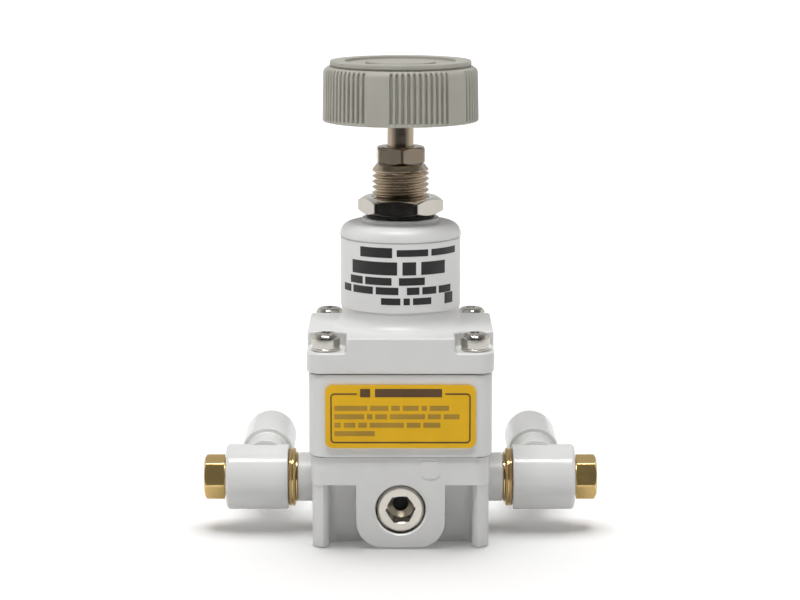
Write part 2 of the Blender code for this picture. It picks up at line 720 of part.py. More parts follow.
def make_tube_port(side, hand):
    tube_axis = along((0, 1, 0), (side * TUBE_X, 0, TUBE_HEIGHT))
    seal = [(TUBE_BORE, 12.6), (4.0, 12.6), (4.0, 14.4), (TUBE_BORE, 14.4)]
    revolved("tube_seal_" + hand, seal, RUBBER, SMALL_ROUND, tube_axis)
    grab = [(TUBE_BORE, 15.2), (4.0, 14.7), (4.0, 15.0), (TUBE_BORE, 15.5)]
    revolved("grab_ring_" + hand, grab, STEEL, SMALL_ROUND, tube_axis)
    collet = [
        (TUBE_BORE, 17.0), (3.6, 17.0), (3.9, 17.6), (3.9, 25.6), (4.4, 25.6), (4.6, 25.8),
        (4.6, 26.3), (4.3, 26.6), (3.4, 26.6), (TUBE_BORE, 26.3),
    ]
    revolved("release_collet_" + hand, collet, COLLET_GREY, SMALL_ROUND, tube_axis)


def make_fittings():
    for side, hand in ((-1, "left"), (1, "right")):
        make_banjo_bolt(side, hand)
        make_rings(side, hand)
        make_elbow(side, hand)
        make_tube_port(side, hand)


def main():
    clear_scene()
    make_lower_body()
    make_middle_body()
    make_bonnet()
    make_bonnet_label()
    make_front_plate()
    make_cover_screws()
    port_plug("front_port_plug", -1)
    port_plug("rear_port_plug", 1)
    make_bottom_cap()
    make_valve()
    make_main_diaphragm()
    make_pilot()
    make_range_spring()
    make_threaded_bushing()
    make_nuts()
    make_adjusting_screw()
    make_knob()
    make_fittings()


main()
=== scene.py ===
"""Finished look of the air pressure regulator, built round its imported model.

Lengths in this file are in millimetres and become metres as each mesh is made. The row frame has
+Z up along the adjusting screw, X from port to port and -Y out of the front face. Outlines of
turned shapes are (radius, station, fillet) corners, in which the fillet may be left out.
"""

import json
import math

import bpy
import bmesh
from mathutils import Matrix, Vector


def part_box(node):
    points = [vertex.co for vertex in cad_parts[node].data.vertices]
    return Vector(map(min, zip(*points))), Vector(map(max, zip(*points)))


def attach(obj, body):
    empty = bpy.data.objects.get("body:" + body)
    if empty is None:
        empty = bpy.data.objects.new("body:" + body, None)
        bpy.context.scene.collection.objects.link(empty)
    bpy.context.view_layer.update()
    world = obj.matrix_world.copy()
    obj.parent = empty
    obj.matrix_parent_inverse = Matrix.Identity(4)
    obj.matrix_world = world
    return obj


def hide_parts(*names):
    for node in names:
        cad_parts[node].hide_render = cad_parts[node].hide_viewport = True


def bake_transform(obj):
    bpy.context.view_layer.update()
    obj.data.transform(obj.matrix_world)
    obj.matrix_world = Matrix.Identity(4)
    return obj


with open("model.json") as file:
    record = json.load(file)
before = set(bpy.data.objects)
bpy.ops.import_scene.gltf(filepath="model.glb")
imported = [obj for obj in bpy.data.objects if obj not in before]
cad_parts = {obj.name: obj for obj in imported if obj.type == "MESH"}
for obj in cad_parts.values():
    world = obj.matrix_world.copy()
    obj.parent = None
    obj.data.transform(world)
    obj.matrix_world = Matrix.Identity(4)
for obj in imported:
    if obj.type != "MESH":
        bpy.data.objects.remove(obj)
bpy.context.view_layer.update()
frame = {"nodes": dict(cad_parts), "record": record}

MM = 0.001
MERGE = 1e-4

# Sides of the rounds, and the largest turn between two points of a fillet.
LARGE_ROUND = 160
ROUND = 96
SMALL_ROUND = 64
ARC_STEP = math.radians(15)
SHARP = math.radians(32)

BODY_OF = {
    node: body for body, nodes in frame["record"]["behaviour"]["bodies"].items() for node in nodes
}


def span(node, axis):
    """Lowest and highest place of a node along an axis, 0 to 2, in millimetres."""
    low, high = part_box(node)
    return low[axis] / MM, high[axis] / MM


# Places that the frame gives.
LOWER_WIDTH = 2 * span("lower_body", 1)[1]
LOWER_TOP = span("lower_body", 2)[1]
STUB_END = span("lower_body", 0)[1]
MIDDLE_WIDTH = 2 * span("middle_body", 1)[1]
MIDDLE_BOTTOM, MIDDLE_TOP = span("middle_body", 2)
FLANGE_WIDTH = 2 * span("bonnet", 1)[1]
FLANGE_BOTTOM, BOSS_TOP = span("bonnet", 2)
LABEL_BOTTOM, LABEL_TOP = span("bonnet_label", 2)
LABEL_RADIUS = span("bonnet_label", 0)[1]
PLATE_LEFT, PLATE_RIGHT = span("front_plate", 0)
PLATE_BOTTOM, PLATE_TOP = span("front_plate", 2)
PLATE_FACE, PLATE_BACK = span("front_plate", 1)
BUSHING_TOP = span("threaded_bushing", 2)[1]
PANEL_NUT_BOTTOM, PANEL_NUT_TOP = span("panel_nut", 2)
GASKET_BOTTOM, GASKET_TOP = span("nut_gasket", 2)
GASKET_RADIUS = span("nut_gasket", 0)[1]
LOCK_NUT_BOTTOM, LOCK_NUT_TOP = span("stem_lock_nut", 2)
STEM_BOTTOM, STEM_TOP = span("adjusting_screw", 2)
STEM_RADIUS = span("adjusting_screw", 0)[1]
KNOB_BOTTOM, KNOB_TOP = span("knob", 2)
PLUG_FACE = -span("front_port_plug", 1)[0]
CAP_TOP = span("knob_cap", 2)[1]
SCREW_HEAD_TOP = span("cover_screw_1", 2)[1]
WASHER_INNER, WASHER_OUTER = span("thread_washer_right", 0)
RING_INNER, RING_OUTER = span("base_ring_right", 0)
BANJO_OUTER = span("elbow_right", 0)[1]
SLEEVE_END = span("elbow_right", 1)[1]
BOLT_END = span("banjo_bolt_right", 0)[1]
COLLET_END = span("release_collet_right", 1)[1]

# Housings.
CORNER_RADIUS = 3.0
FLANGE_TOP = 40.55
EAR_FLOOR = 37.65
EAR_SIZE = 7.4
SCREW_SPACING = 28.2
BONNET_RADIUS = 11.35
LIP_RADIUS = 11.62
LIP_HEIGHT = 57.8
DOME_TOP = 60.2
BOSS_RADIUS = 7.4
POCKET_TOP = 12.15
POCKET_DEPTH = 4.5
POCKET_INNER = 8.4
POCKET_OUTER = 13.9
TONGUE_CORNER = 5.0
POST_NOSE = 2.3
POST_INSET = 0.16

# Adjuster and knob.
THREAD_RADIUS = 5.45
THREAD_ROOT = 4.78
THREAD_PITCH = 1.07
PANEL_NUT_FLATS = 14.5
PANEL_NUT_TURN = -67.4
# How far the finished nut comes down further, onto a flatter gasket.
NUT_DROP = 0.22
STEM_BORE = STEM_RADIUS + 0.08
LOCK_NUT_FLATS = 9.0
LOCK_NUT_TURN = -86.0
KNOB_RADIUS = 14.93
GROOVE_DEPTH = 0.68
GROOVE_PITCH = 4.3
# First groove of each group, in degrees from the front towards +X, and its number of grooves.
GROOVE_GROUPS = ((-71.1, 11), (-6.9, 11), (57.3, 11), (121.6, 9), (177.3, 9), (233.0, 9))

# Ports and fittings.
PORT_HEIGHT = 7.3
PORT_BORE = 4.77
SOCKET_FLATS = 5.0
SOCKET_TURN = 4.0
FITTING_HEIGHT = 9.7
STUB_RADIUS = 4.75
BANJO_RADIUS = 6.35
BANJO_INNER = 21.85
BOLT_FLATS = 7.7
BOLT_TURN = 19.0
TUBE_X = 26.45
TUBE_HEIGHT = 12.7
SLEEVE_RADIUS = 5.03
SLEEVE_START = 7.8
NECK_RADIUS = 4.3
TUBE_BORE = 3.15
RING_BORE = 3.1
BOLT_BORE = 3.05

# Turns an outline in X and Y into one in X and Z, extruded towards -Y.
UPRIGHT = Matrix.Rotation(math.pi / 2, 4, "X")

# Floor, curved screen and lights.
FLOOR_GAP = 0.3
FLAG_RADIUS = 300.0
FLAG_BOTTOM = 1.0
FLAG_TOP = 220.0
KEY_PLACE = (-65, -290, 990)
KEY_AIM = (0, 0, 30)
KEY_SIZE = (600, 120)
KEY_POWER = 9.2
SUN_POWER = 2.58
SUN_WIDTH = math.radians(46)
SUN_TILT = math.radians(-8)

# The camera that was fitted to the photo: place, downward tilt and focal length on a 36 mm sensor.
CAMERA_PLACE = (-0.1, -483.2, 127.4)
CAMERA_TILT = math.radians(9.7)
CAMERA_LENS = 113.9


# --------------------------------------------------------------------------- materials


def set_inputs(tree, node, **inputs):
    """Sets inputs of a node to values, or links them to outputs of other nodes."""
    for key, value in inputs.items():
        target = node.inputs[key.replace("_", " ")]
        if isinstance(value, bpy.types.NodeSocket):
            tree.links.new(value, target)
        else:
            target.default_value = value


def node_maker(tree):
    """A function that adds a node to the tree and sets its inputs."""

    def make(kind, **inputs):
        node = tree.nodes.new(kind)
        set_inputs(tree, node, **inputs)
        return node

    return make


def new_material(name):
    """A new material, its node tree and the Principled node in it."""
    material = bpy.data.materials.new(name)
    material.use_nodes = True
    tree = material.node_tree
    return material, tree, tree.nodes["Principled BSDF"]


def finish(
    name, colour, roughness, metallic=0.0, tone=0.03, spread=0.06, grain=0.12, relief=0.004,
    stretch=(1.0, 1.0, 1.0), specular=0.5,
):
    """A surface with slow changes of tone, patches of wear in its roughness and a fine relief.
    grain is the size of the relief in millimetres and relief is its height in millimetres.
    stretch scales the relief along the axes, which draws it out into lathe or brush marks."""
    material, tree, shader = new_material(name)
    make = node_maker(tree)
    place = make("ShaderNodeTexCoord").outputs["Object"]

    slow = make("ShaderNodeTexNoise", Vector=place, Scale=180.0, Detail=3.0, Roughness=0.5)
    light = tuple(min(1.0, c * (1 + tone)) for c in colour)
    dark = tuple(c * (1 - tone) for c in colour)
    blend = make("ShaderNodeMapRange", Value=slow.outputs["Fac"], From_Min=0.35, From_Max=0.65)
    mix = tree.nodes.new("ShaderNodeMix")
    mix.data_type = "RGBA"
    tree.links.new(blend.outputs["Result"], mix.inputs["Factor"])
    mix.inputs[6].default_value = (*dark, 1.0)
    mix.inputs[7].default_value = (*light, 1.0)

    patches = make("ShaderNodeTexNoise", Vector=place, Scale=900.0, Detail=4.0, Roughness=0.6)
    rough = make(
        "ShaderNodeMapRange", Value=patches.outputs["Fac"], From_Min=0.3, From_Max=0.7,
        To_Min=max(0.02, roughness - spread), To_Max=roughness + spread,
    )

    drawn = make("ShaderNodeMapping", Vector=place, Scale=stretch)
    fine = make(
        "ShaderNodeTexNoise", Vector=drawn.outputs["Vector"], Scale=1.0 / (grain * MM),
        Detail=2.0, Roughness=0.5,
    )
    bump = make(
        "ShaderNodeBump", Height=fine.outputs["Fac"], Strength=1.0, Distance=relief * MM
    )
    set_inputs(
        tree, shader, Base_Color=mix.outputs[2], Roughness=rough.outputs["Result"],
        Normal=bump.outputs["Normal"], Metallic=metallic, Specular_IOR_Level=specular,
    )
    return material


PAINT = finish("white_paint", (0.71, 0.71, 0.70), 0.38, tone=0.012, grain=0.35, relief=0.0025)
FILM = finish("label_film", (0.76, 0.76, 0.75), 0.42, tone=0.01, grain=0.2, relief=0.0015)
INK = finish("black_ink", (0.015, 0.015, 0.016), 0.45, tone=0.2, grain=0.08, relief=0.001)
YELLOW = finish(
    "yellow_print", (0.80, 0.46, 0.008), 0.42, grain=0.1, relief=0.001, specular=0.25
)
BROWN_INK = finish("brown_ink", (0.10, 0.045, 0.008), 0.45, tone=0.2, grain=0.08, relief=0.001)
FADED_INK = finish("faded_ink", (0.40, 0.23, 0.012), 0.45, tone=0.12, grain=0.3, relief=0.001)
GRIP = finish("knob_plastic", (0.40, 0.39, 0.34), 0.5, grain=0.10, relief=0.006, specular=0.35)
MOULDED = finish(
    "fitting_plastic", (0.71, 0.71, 0.70), 0.18, tone=0.01, grain=0.5, relief=0.001, specular=0.3
)
RELEASE = finish("collet_plastic", (0.70, 0.71, 0.70), 0.35, tone=0.02, grain=0.3, relief=0.002)
WARM_NICKEL = finish(
    "worn_nickel", (0.50, 0.43, 0.345), 0.20, 1.0, spread=0.02, grain=0.05, relief=0.0002,
    stretch=(0.15, 0.15, 1.0),
)
BRIGHT_NICKEL = finish(
    "bright_nickel", (0.68, 0.665, 0.64), 0.08, 1.0, spread=0.03, relief=0.0004
)
SATIN_NICKEL = finish("satin_nickel", (0.72, 0.69, 0.63), 0.30, 1.0, spread=0.03, relief=0.0003)
STEEL = finish("zinc_steel", (0.56, 0.54, 0.50), 0.18, 1.0, tone=0.04, grain=0.09, relief=0.001)
WIRE = finish("spring_wire", (0.45, 0.45, 0.46), 0.30, 1.0, tone=0.06, grain=0.06, relief=0.003)
BRASS = finish(
    "turned_brass", (0.76, 0.55, 0.225), 0.36, 1.0, spread=0.03, grain=0.06, relief=0.0002,
    stretch=(1.0, 0.15, 0.15),
)
RING_BRASS = finish(
    "polished_brass", (0.72, 0.52, 0.25), 0.15, 1.0, tone=0.06, spread=0.03, grain=0.06,
    relief=0.0003, stretch=(1.0, 0.15, 0.15),
)
ALUMINIUM = finish(
    "turned_aluminium", (0.72, 0.73, 0.74), 0.32, 1.0, tone=0.04, grain=0.07, relief=0.003
)
RUBBER = finish("black_rubber", (0.012, 0.012, 0.012), 0.6, tone=0.2, grain=0.1, relief=0.006)

SLOT_FINISH = {
    "body_white": PAINT,
    "label_white": FILM,
    "plate_yellow": YELLOW,
    "knob_grey": GRIP,
    "fitting_white": MOULDED,
    "collet_grey": RELEASE,
    "nickel": BRIGHT_NICKEL,
    "steel": STEEL,
    "spring_steel": WIRE,
    "brass": BRASS,
    "aluminium": ALUMINIUM,
    "rubber": RUBBER,
}
SLOT_OF = {row["node"]: row["material_slot"] for row in frame["record"]["subparts"]}


# --------------------------------------------------------------------------- building blocks


def new_object(name, data):
    """A new object in the scene that holds the given mesh, light or camera."""
    obj = bpy.data.objects.new(name, data)
    bpy.context.scene.collection.objects.link(obj)
    return obj


def add_object(name, bm, place=None):
    """The bmesh, in millimetres, as one object in metres, moved by the matrix place."""
    bmesh.ops.remove_doubles(bm, verts=bm.verts, dist=MERGE)
    bmesh.ops.dissolve_degenerate(bm, edges=bm.edges, dist=MERGE)
    bmesh.ops.recalc_face_normals(bm, faces=bm.faces)
    if place is not None:
        bm.transform(place)
    bm.transform(Matrix.Scale(MM, 4))
    mesh = bpy.data.meshes.new(name)
    bm.to_mesh(mesh)
    bm.free()
    return new_object(name, mesh)


def along(axis, centre=(0.0, 0.0, 0.0)):
    """A matrix that lays local +Z along the given axis and moves the origin to centre."""
    turn = Vector((0, 0, 1)).rotation_difference(Vector(axis)).to_matrix().to_4x4()
    return Matrix.Translation(Vector(centre)) @ turn


def rounded(corners, closed=False):
    """The line through (x, y, fillet) corners, with its corners rounded by arcs."""
    path = []
    for i, (x, y, *fillet) in enumerate(corners):
        at_end = not closed and i in (0, len(corners) - 1)
        if not fillet or at_end:
            path.append((x, y))
            continue
        here = Vector((x, y))
        before = (Vector(corners[i - 1][:2]) - here).normalized()
        after = (Vector(corners[(i + 1) % len(corners)][:2]) - here).normalized()
        half = before.angle(after) / 2
        reach = fillet[0] / math.tan(half)
        centre = here + (before + after).normalized() * fillet[0] / math.sin(half)
        first = here + before * reach - centre
        last = here + after * reach - centre
        start = math.atan2(first.y, first.x)
        turn = (math.atan2(last.y, last.x) - start + math.pi) % (2 * math.pi) - math.pi
        steps = max(2, math.ceil(abs(turn) / ARC_STEP))
        for k in range(steps + 1):
            angle = start + turn * k / steps
            path.append(
                (centre.x + fillet[0] * math.cos(angle), centre.y + fillet[0] * math.sin(angle))
            )
    return path


def even_angles(count):
    return [2 * math.pi * i / count for i in range(count + 1)]


def add_column(bm, angle, outline):
    """New points of an outline of (radius, station) at one angle about the axis."""
    x, y = math.cos(angle), math.sin(angle)
    return [bm.verts.new((radius * x, radius * y, station)) for radius, station in outline]


def bridge(bm, columns, closed=False):
    """Joins each column of points to the next by quads, and its two ends as well if closed."""
    for first, second in zip(columns, columns[1:]):
        for i in range(0 if closed else 1, len(first)):
            bm.faces.new((first[i - 1], second[i - 1], second[i], first[i]))


def turned(name, corners, segments=ROUND, place=None, angles=None, shape=None):
    """A turned solid about local Z. An outline that starts and ends on the axis is solid there,
    and any other is closed into a ring. shape moves a point, given as (angle, radius, station)."""
    ring = corners[0][0] > 0 or corners[-1][0] > 0
    outline = rounded(corners, closed=ring)
    if ring:
        outline.append(outline[0])
    bm = bmesh.new()
    columns = []
    for angle in angles or even_angles(segments):
        points = [shape(angle, *point) for point in outline] if shape else outline
        columns.append(add_column(bm, angle, points))
    bridge(bm, columns)
    return add_object(name, bm, place)


def prism(name, corners, low, high, place=None, rim=0.0, taper=1.0):
    """A straight or tapered block with a closed outline and rounded rims at both ends."""
    bm = bmesh.new()
    outline = rounded(corners, closed=True)
    bottom = [bm.verts.new((x * taper, y * taper, low)) for x, y in outline]
    top = [bm.verts.new((x, y, high)) for x, y in outline]
    for i in range(len(outline)):
        bm.faces.new((bottom[i - 1], bottom[i], top[i], top[i - 1]))
    ends = [bm.faces.new(bottom[::-1]), bm.faces.new(top)]
    if rim > 0:
        edges = list({edge for face in ends for edge in face.edges})
        bmesh.ops.bevel(bm, geom=edges, offset=rim, segments=3, affect="EDGES", profile=0.5)
    return add_object(name, bm, place)


def rectangle(width, depth, radius, centre=(0.0, 0.0)):
    x, y = width / 2, depth / 2
    return [
        (centre[0] + i * x, centre[1] + j * y, radius)
        for i, j in ((1, 1), (-1, 1), (-1, -1), (1, -1))
    ]


def hexagon(flats, turn=0.0, fillet=0.0):
    reach = flats / math.sqrt(3)
    angles = [math.radians(turn + 60 * k) for k in range(6)]
    return [(reach * math.cos(a), reach * math.sin(a), fillet) for a in angles]


def bake(obj):
    """Applies the object's modifiers."""
    depsgraph = bpy.context.evaluated_depsgraph_get()
    mesh = bpy.data.meshes.new_from_object(obj.evaluated_get(depsgraph))
    obj.modifiers.clear()
    obj.data = mesh


def combine(target, others, operation):
    """Adds the other solids to the target or takes them from it, and removes them."""
    for other in others:
        boolean = target.modifiers.new(operation, "BOOLEAN")
        boolean.operation = operation
        boolean.solver = "EXACT"
        boolean.object = other
    bake(target)
    for other in others:
        bpy.data.objects.remove(other, do_unlink=True)


def cut(target, *others):
    combine(target, others, "DIFFERENCE")


def join(target, *others):
    combine(target, others, "UNION")


def soften(obj, width, segments=3):
    """Rounds every sharp edge of the object a little."""
    bevel = obj.modifiers.new("soften", "BEVEL")
    bevel.width = width * MM
    bevel.segments = segments
    bevel.limit_method = "ANGLE"
    bevel.angle_limit = SHARP
    bevel.miter_outer = "MITER_ARC"
    bake(obj)


def show(obj, material, node, stands_for=True, sharp=SHARP):
    """Gives the finished piece its material and lets it ride where its CAD node rides."""
    mesh = obj.data
    mesh.materials.clear()
    mesh.materials.append(material)
    mesh.polygons.foreach_set("material_index", [0] * len(mesh.polygons))
    mesh.shade_smooth()
    mesh.set_sharp_from_angle(angle=sharp)
    weighted = obj.modifiers.new("weighted", "WEIGHTED_NORMAL")
    weighted.keep_sharp = True
    weighted.weight = 100
    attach(obj, BODY_OF[node])
    if stands_for:
        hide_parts(node)


def rod(name, radius, start, end, segments=ROUND):
    start, end = Vector(start), Vector(end)
    length = (end - start).length
    corners = [(0, 0), (radius, 0), (radius, length), (0, length)]
    return turned(name, corners, segments, along(end - start, start))


def four_corners(spacing):
    half = spacing / 2
    return [(half, half), (-half, half), (-half, -half), (half, -half)]


def screw_holes(radius, low, high):
    return [
        rod("screw_hole", radius, (x, y, low), (x, y, high), SMALL_ROUND)
        for x, y in four_corners(SCREW_SPACING)
    ]


def fitting_axis(side):
    """Lays local +Z along the axis of the left or right fitting, outwards."""
    return along((side, 0, 0), (0, 0, FITTING_HEIGHT))


# --------------------------------------------------------------------------- housings


def pocket_cutters(facing, side):
    """The two cutters of one lightening pocket: the pocket in plan, with a hollow towards the
    corner post and a round nose on the post, and the rounded relief below the port tongue."""
    face = LOWER_WIDTH / 2
    floor = face - POCKET_DEPTH
    nose = POCKET_OUTER - 0.3
    plan = [(POCKET_INNER, floor, 0.5), (nose, floor, 1.6)]
    plan += [
        (nose + POST_NOSE * (1 - math.cos(a)), face - POST_NOSE * (1 - math.sin(a)))
        for a in (math.radians(10 * step) for step in range(10))
    ]
    plan += [(nose + POST_NOSE, face + 2), (POCKET_INNER, face + 2)]
    plan = [(side * x, facing * y, *fillet) for x, y, *fillet in plan]
    pocket = prism("pocket", plan, -1, POCKET_TOP)
    corner = [
        (POCKET_INNER + 0.5, -1), (POCKET_INNER + 0.5, TONGUE_CORNER), (POCKET_INNER, TONGUE_CORNER)
    ]
    corner += [
        (POCKET_INNER - TONGUE_CORNER * (1 - math.cos(a)), TONGUE_CORNER * (1 - math.sin(a)))
        for a in (math.radians(10 * step) for step in range(1, 9))
    ]
    corner += [(POCKET_INNER - TONGUE_CORNER, 0), (POCKET_INNER - TONGUE_CORNER, -1)]
    corner = [(side * x, z) for x, z in corner]
    low, high = sorted((-facing * floor, -facing * (face + 2)))
    relief = prism("relief", corner, low, high, UPRIGHT)
    return [pocket, relief]


def post_cutters():
    """Two cutters that set the corner posts and the sides below the ledge a little back."""
    outer = rectangle(LOWER_WIDTH, LOWER_WIDTH, CORNER_RADIUS)
    share = 1 - 2 * POST_INSET / LOWER_WIDTH
    inset = [(x * share, y * share, r) for x, y, r in outer]
    slope = 0.25
    cutters = []
    for side in (-1, 1):
        middle = side * (POCKET_OUTER - 0.5 + 5)
        slab = prism("slab", rectangle(10, 40, 0.1, (middle, 0)), -1, POCKET_TOP - 0.01)
        cut(
            slab, prism("core", inset, -2, POCKET_TOP - slope),
            prism("core_top", outer, POCKET_TOP - slope, POCKET_TOP, taper=share),
        )
        cutters.append(slab)
    return cutters


def make_lower_body():
    outline = rectangle(LOWER_WIDTH, LOWER_WIDTH, CORNER_RADIUS)
    body = prism("finished_lower_body", outline, 0, LOWER_TOP)
    cutters = []
    for facing in (-1, 1):
        for side in (-1, 1):
            cutters += pocket_cutters(facing, side)
    cut(body, *cutters)
    soften(body, 0.4)
    cut(body, *post_cutters())
    stubs = [
        turned(
            "stub", [(0, 14), (STUB_RADIUS, 14), (STUB_RADIUS, STUB_END, 0.3), (0, STUB_END)],
            ROUND, fitting_axis(side),
        )
        for side in (-1, 1)
    ]
    join(body, *stubs)
    chamber = [
        (0, -1), (6.9, -1), (6.9, 0), (6.6, 0.3), (6.6, 3.2), (4.4, 3.2), (4.4, 10.6), (2.6, 10.6),
        (2.6, 13.0), (11.0, 13.0), (11.0, 16.4), (13.4, 16.4), (13.4, 18.5), (0, 18.5),
    ]
    cutters = [turned("chamber", chamber, SMALL_ROUND)]
    face = LOWER_WIDTH / 2
    port = [
        (0, 9.3), (PORT_BORE, 9.3), (PORT_BORE, face - 0.25), (PORT_BORE + 0.3, face + 0.05),
        (PORT_BORE + 0.3, face + 1), (0, face + 1),
    ]
    for facing in (-1, 1):
        place = along((0, facing, 0), (0, 0, PORT_HEIGHT))
        cutters.append(turned("port", port, ROUND, place))
    for side in (-1, 1):
        mouth = (side * (STUB_END + 1), 0, FITTING_HEIGHT)
        cutters.append(rod("stud_bore", 3.2, mouth, (side * 13.2, 0, FITTING_HEIGHT), SMALL_ROUND))
    cut(body, *cutters, *screw_holes(1.6, 12.9, 18.5))
    show(body, PAINT, "lower_body")
    # The small raised square above the port.
    pad = prism(
        "cast_pad", rectangle(3.3, 3.3, 0.6, (5.6, 15.1)), face - 0.2, face + 0.12, UPRIGHT,
        rim=0.11,
    )
    show(pad, PAINT, "lower_body", stands_for=False)


def make_middle_body():
    outline = rectangle(MIDDLE_WIDTH, MIDDLE_WIDTH, CORNER_RADIUS)
    body = prism("finished_middle_body", outline, MIDDLE_BOTTOM, MIDDLE_TOP, rim=0.35)
    bore = [
        (0, 16), (12.0, 16), (12.0, 22.3), (11.2, 22.3), (11.2, 32.5), (13.4, 32.5), (13.4, 35),
        (0, 35),
    ]
    cut(body, turned("bore", bore), *screw_holes(1.7, 16, 35))
    show(body, PAINT, "middle_body")


def make_bonnet():
    outline = rectangle(FLANGE_WIDTH, FLANGE_WIDTH, CORNER_RADIUS)
    bonnet = prism("finished_bonnet", outline, FLANGE_BOTTOM, FLANGE_TOP)
    ears = [
        prism("ear", rectangle(2 * EAR_SIZE, 2 * EAR_SIZE, 2.2, centre), EAR_FLOOR, FLANGE_TOP + 1)
        for centre in four_corners(FLANGE_WIDTH)
    ]
    cut(bonnet, *ears)
    soften(bonnet, 0.45)
    foot = 2.3
    tower = [
        (0, 36), (BONNET_RADIUS + foot, 36), (BONNET_RADIUS + foot, FLANGE_TOP - 0.03),
        (BONNET_RADIUS, FLANGE_TOP - 0.03, foot), (BONNET_RADIUS, LABEL_TOP + 0.15, 0.08),
        (LIP_RADIUS, LABEL_TOP + 0.2, 0.1), (LIP_RADIUS, LIP_HEIGHT + 0.25, 0.3),
        (LIP_RADIUS - 0.45, DOME_TOP, 2.15), (BOSS_RADIUS, DOME_TOP, 0.25),
        (BOSS_RADIUS, BOSS_TOP, 0.2), (0, BOSS_TOP),
    ]
    join(bonnet, turned("tower", tower, LARGE_ROUND))
    hollow = [
        (0, 32), (9.6, 32), (9.6, 56.0), (7.6, 56.0), (7.6, 58.5), (5.55, 58.5), (5.55, 63), (0, 63)
    ]
    cut(bonnet, turned("hollow", hollow), *screw_holes(1.7, 32, 42))
    show(bonnet, PAINT, "bonnet")


# --------------------------------------------------------------------------- label and plate

# Bars that stand for print round the bonnet: lowest and highest height, the angle where the line
# starts, and then widths of bars and gaps in turn, in degrees.
LABEL_LINES = [
    (54.75, 56.65, -41.4, (33.5,)),
    (55.0, 56.3, -3.6, (30.5, 3.5, 33.5)),
    (51.45, 53.95, -52.2, (49.0, 5.0, 13.0, 5.0, 27.0)),
    (49.5, 50.95, -55.0, (16.5, 3.0, 27.0, 7.0, 25.0)),
    (47.7, 49.1, -67.5, (13.0, 3.5, 24.0, 3.0, 22.0, 8.0, 12.0, 3.0, 15.0, 3.0, 16.5)),
    (45.75, 47.05, -18.7, (18.5, 3.0, 6.0, 3.0, 18.5)),
    (45.5, 47.6, 46.5, (12.5,)),
]
INK_HEIGHT = 0.025


def close_arc(bm, angles, section):
    """A section of (radius, station) swept round the axis, closed at both ends."""
    columns = [add_column(bm, angle, section) for angle in angles]
    bridge(bm, columns, closed=True)
    bm.faces.new(columns[0])
    bm.faces.new(columns[-1][::-1])


def curved_bar(bm, radius, low, high, start, width):
    """One thin raised bar that follows a cylinder. Angles are in degrees from the front, positive
    towards +X."""
    steps = max(2, math.ceil(width / 2.0))
    inner, outer = radius - INK_HEIGHT, radius + INK_HEIGHT
    section = [(inner, low), (outer, low), (outer, high), (inner, high)]
    close_arc(bm, [math.radians(start + width * i / steps - 90) for i in range(steps + 1)], section)


def make_label():
    inner = BONNET_RADIUS + 0.06
    band = [
        (inner, LABEL_BOTTOM), (LABEL_RADIUS, LABEL_BOTTOM, 0.03), (LABEL_RADIUS, LABEL_TOP, 0.03),
        (inner, LABEL_TOP),
    ]
    # The band starts and ends this many degrees from the middle of the back.
    seam = 3.0
    angles = [
        math.radians(90 + seam + (360 - 2 * seam) * i / LARGE_ROUND) for i in range(LARGE_ROUND + 1)
    ]
    bm = bmesh.new()
    close_arc(bm, angles, rounded(band, closed=True))
    show(add_object("finished_label", bm), FILM, "bonnet_label")

    bm = bmesh.new()
    for low, high, start, widths in LABEL_LINES:
        for number, width in enumerate(widths):
            if number % 2 == 0:
                curved_bar(bm, LABEL_RADIUS, low, high, start, width)
            start += width
    show(add_object("label_bars", bm), INK, "bonnet_label", stands_for=False)


def flat_bars(name, boxes, material):
    """Thin raised bars on the front plate, given as (left, bottom, right, top)."""
    bm = bmesh.new()
    for left, bottom, right, top in boxes:
        cube = bmesh.ops.create_cube(bm, size=1.0)["verts"]
        size = Vector((right - left, 2 * INK_HEIGHT, top - bottom))
        middle = Vector(((left + right) / 2, PLATE_FACE, (bottom + top) / 2))
        bmesh.ops.transform(
            bm, matrix=Matrix.Translation(middle) @ Matrix.Diagonal((*size, 1)), verts=cube
        )
    show(add_object(name, bm), material, "front_plate", stands_for=False)


def word_boxes(left, bottom, top, words, gap=0.45):
    boxes = []
    for width in words:
        boxes.append((left, bottom, left + width, top))
        left += width + gap
    return boxes


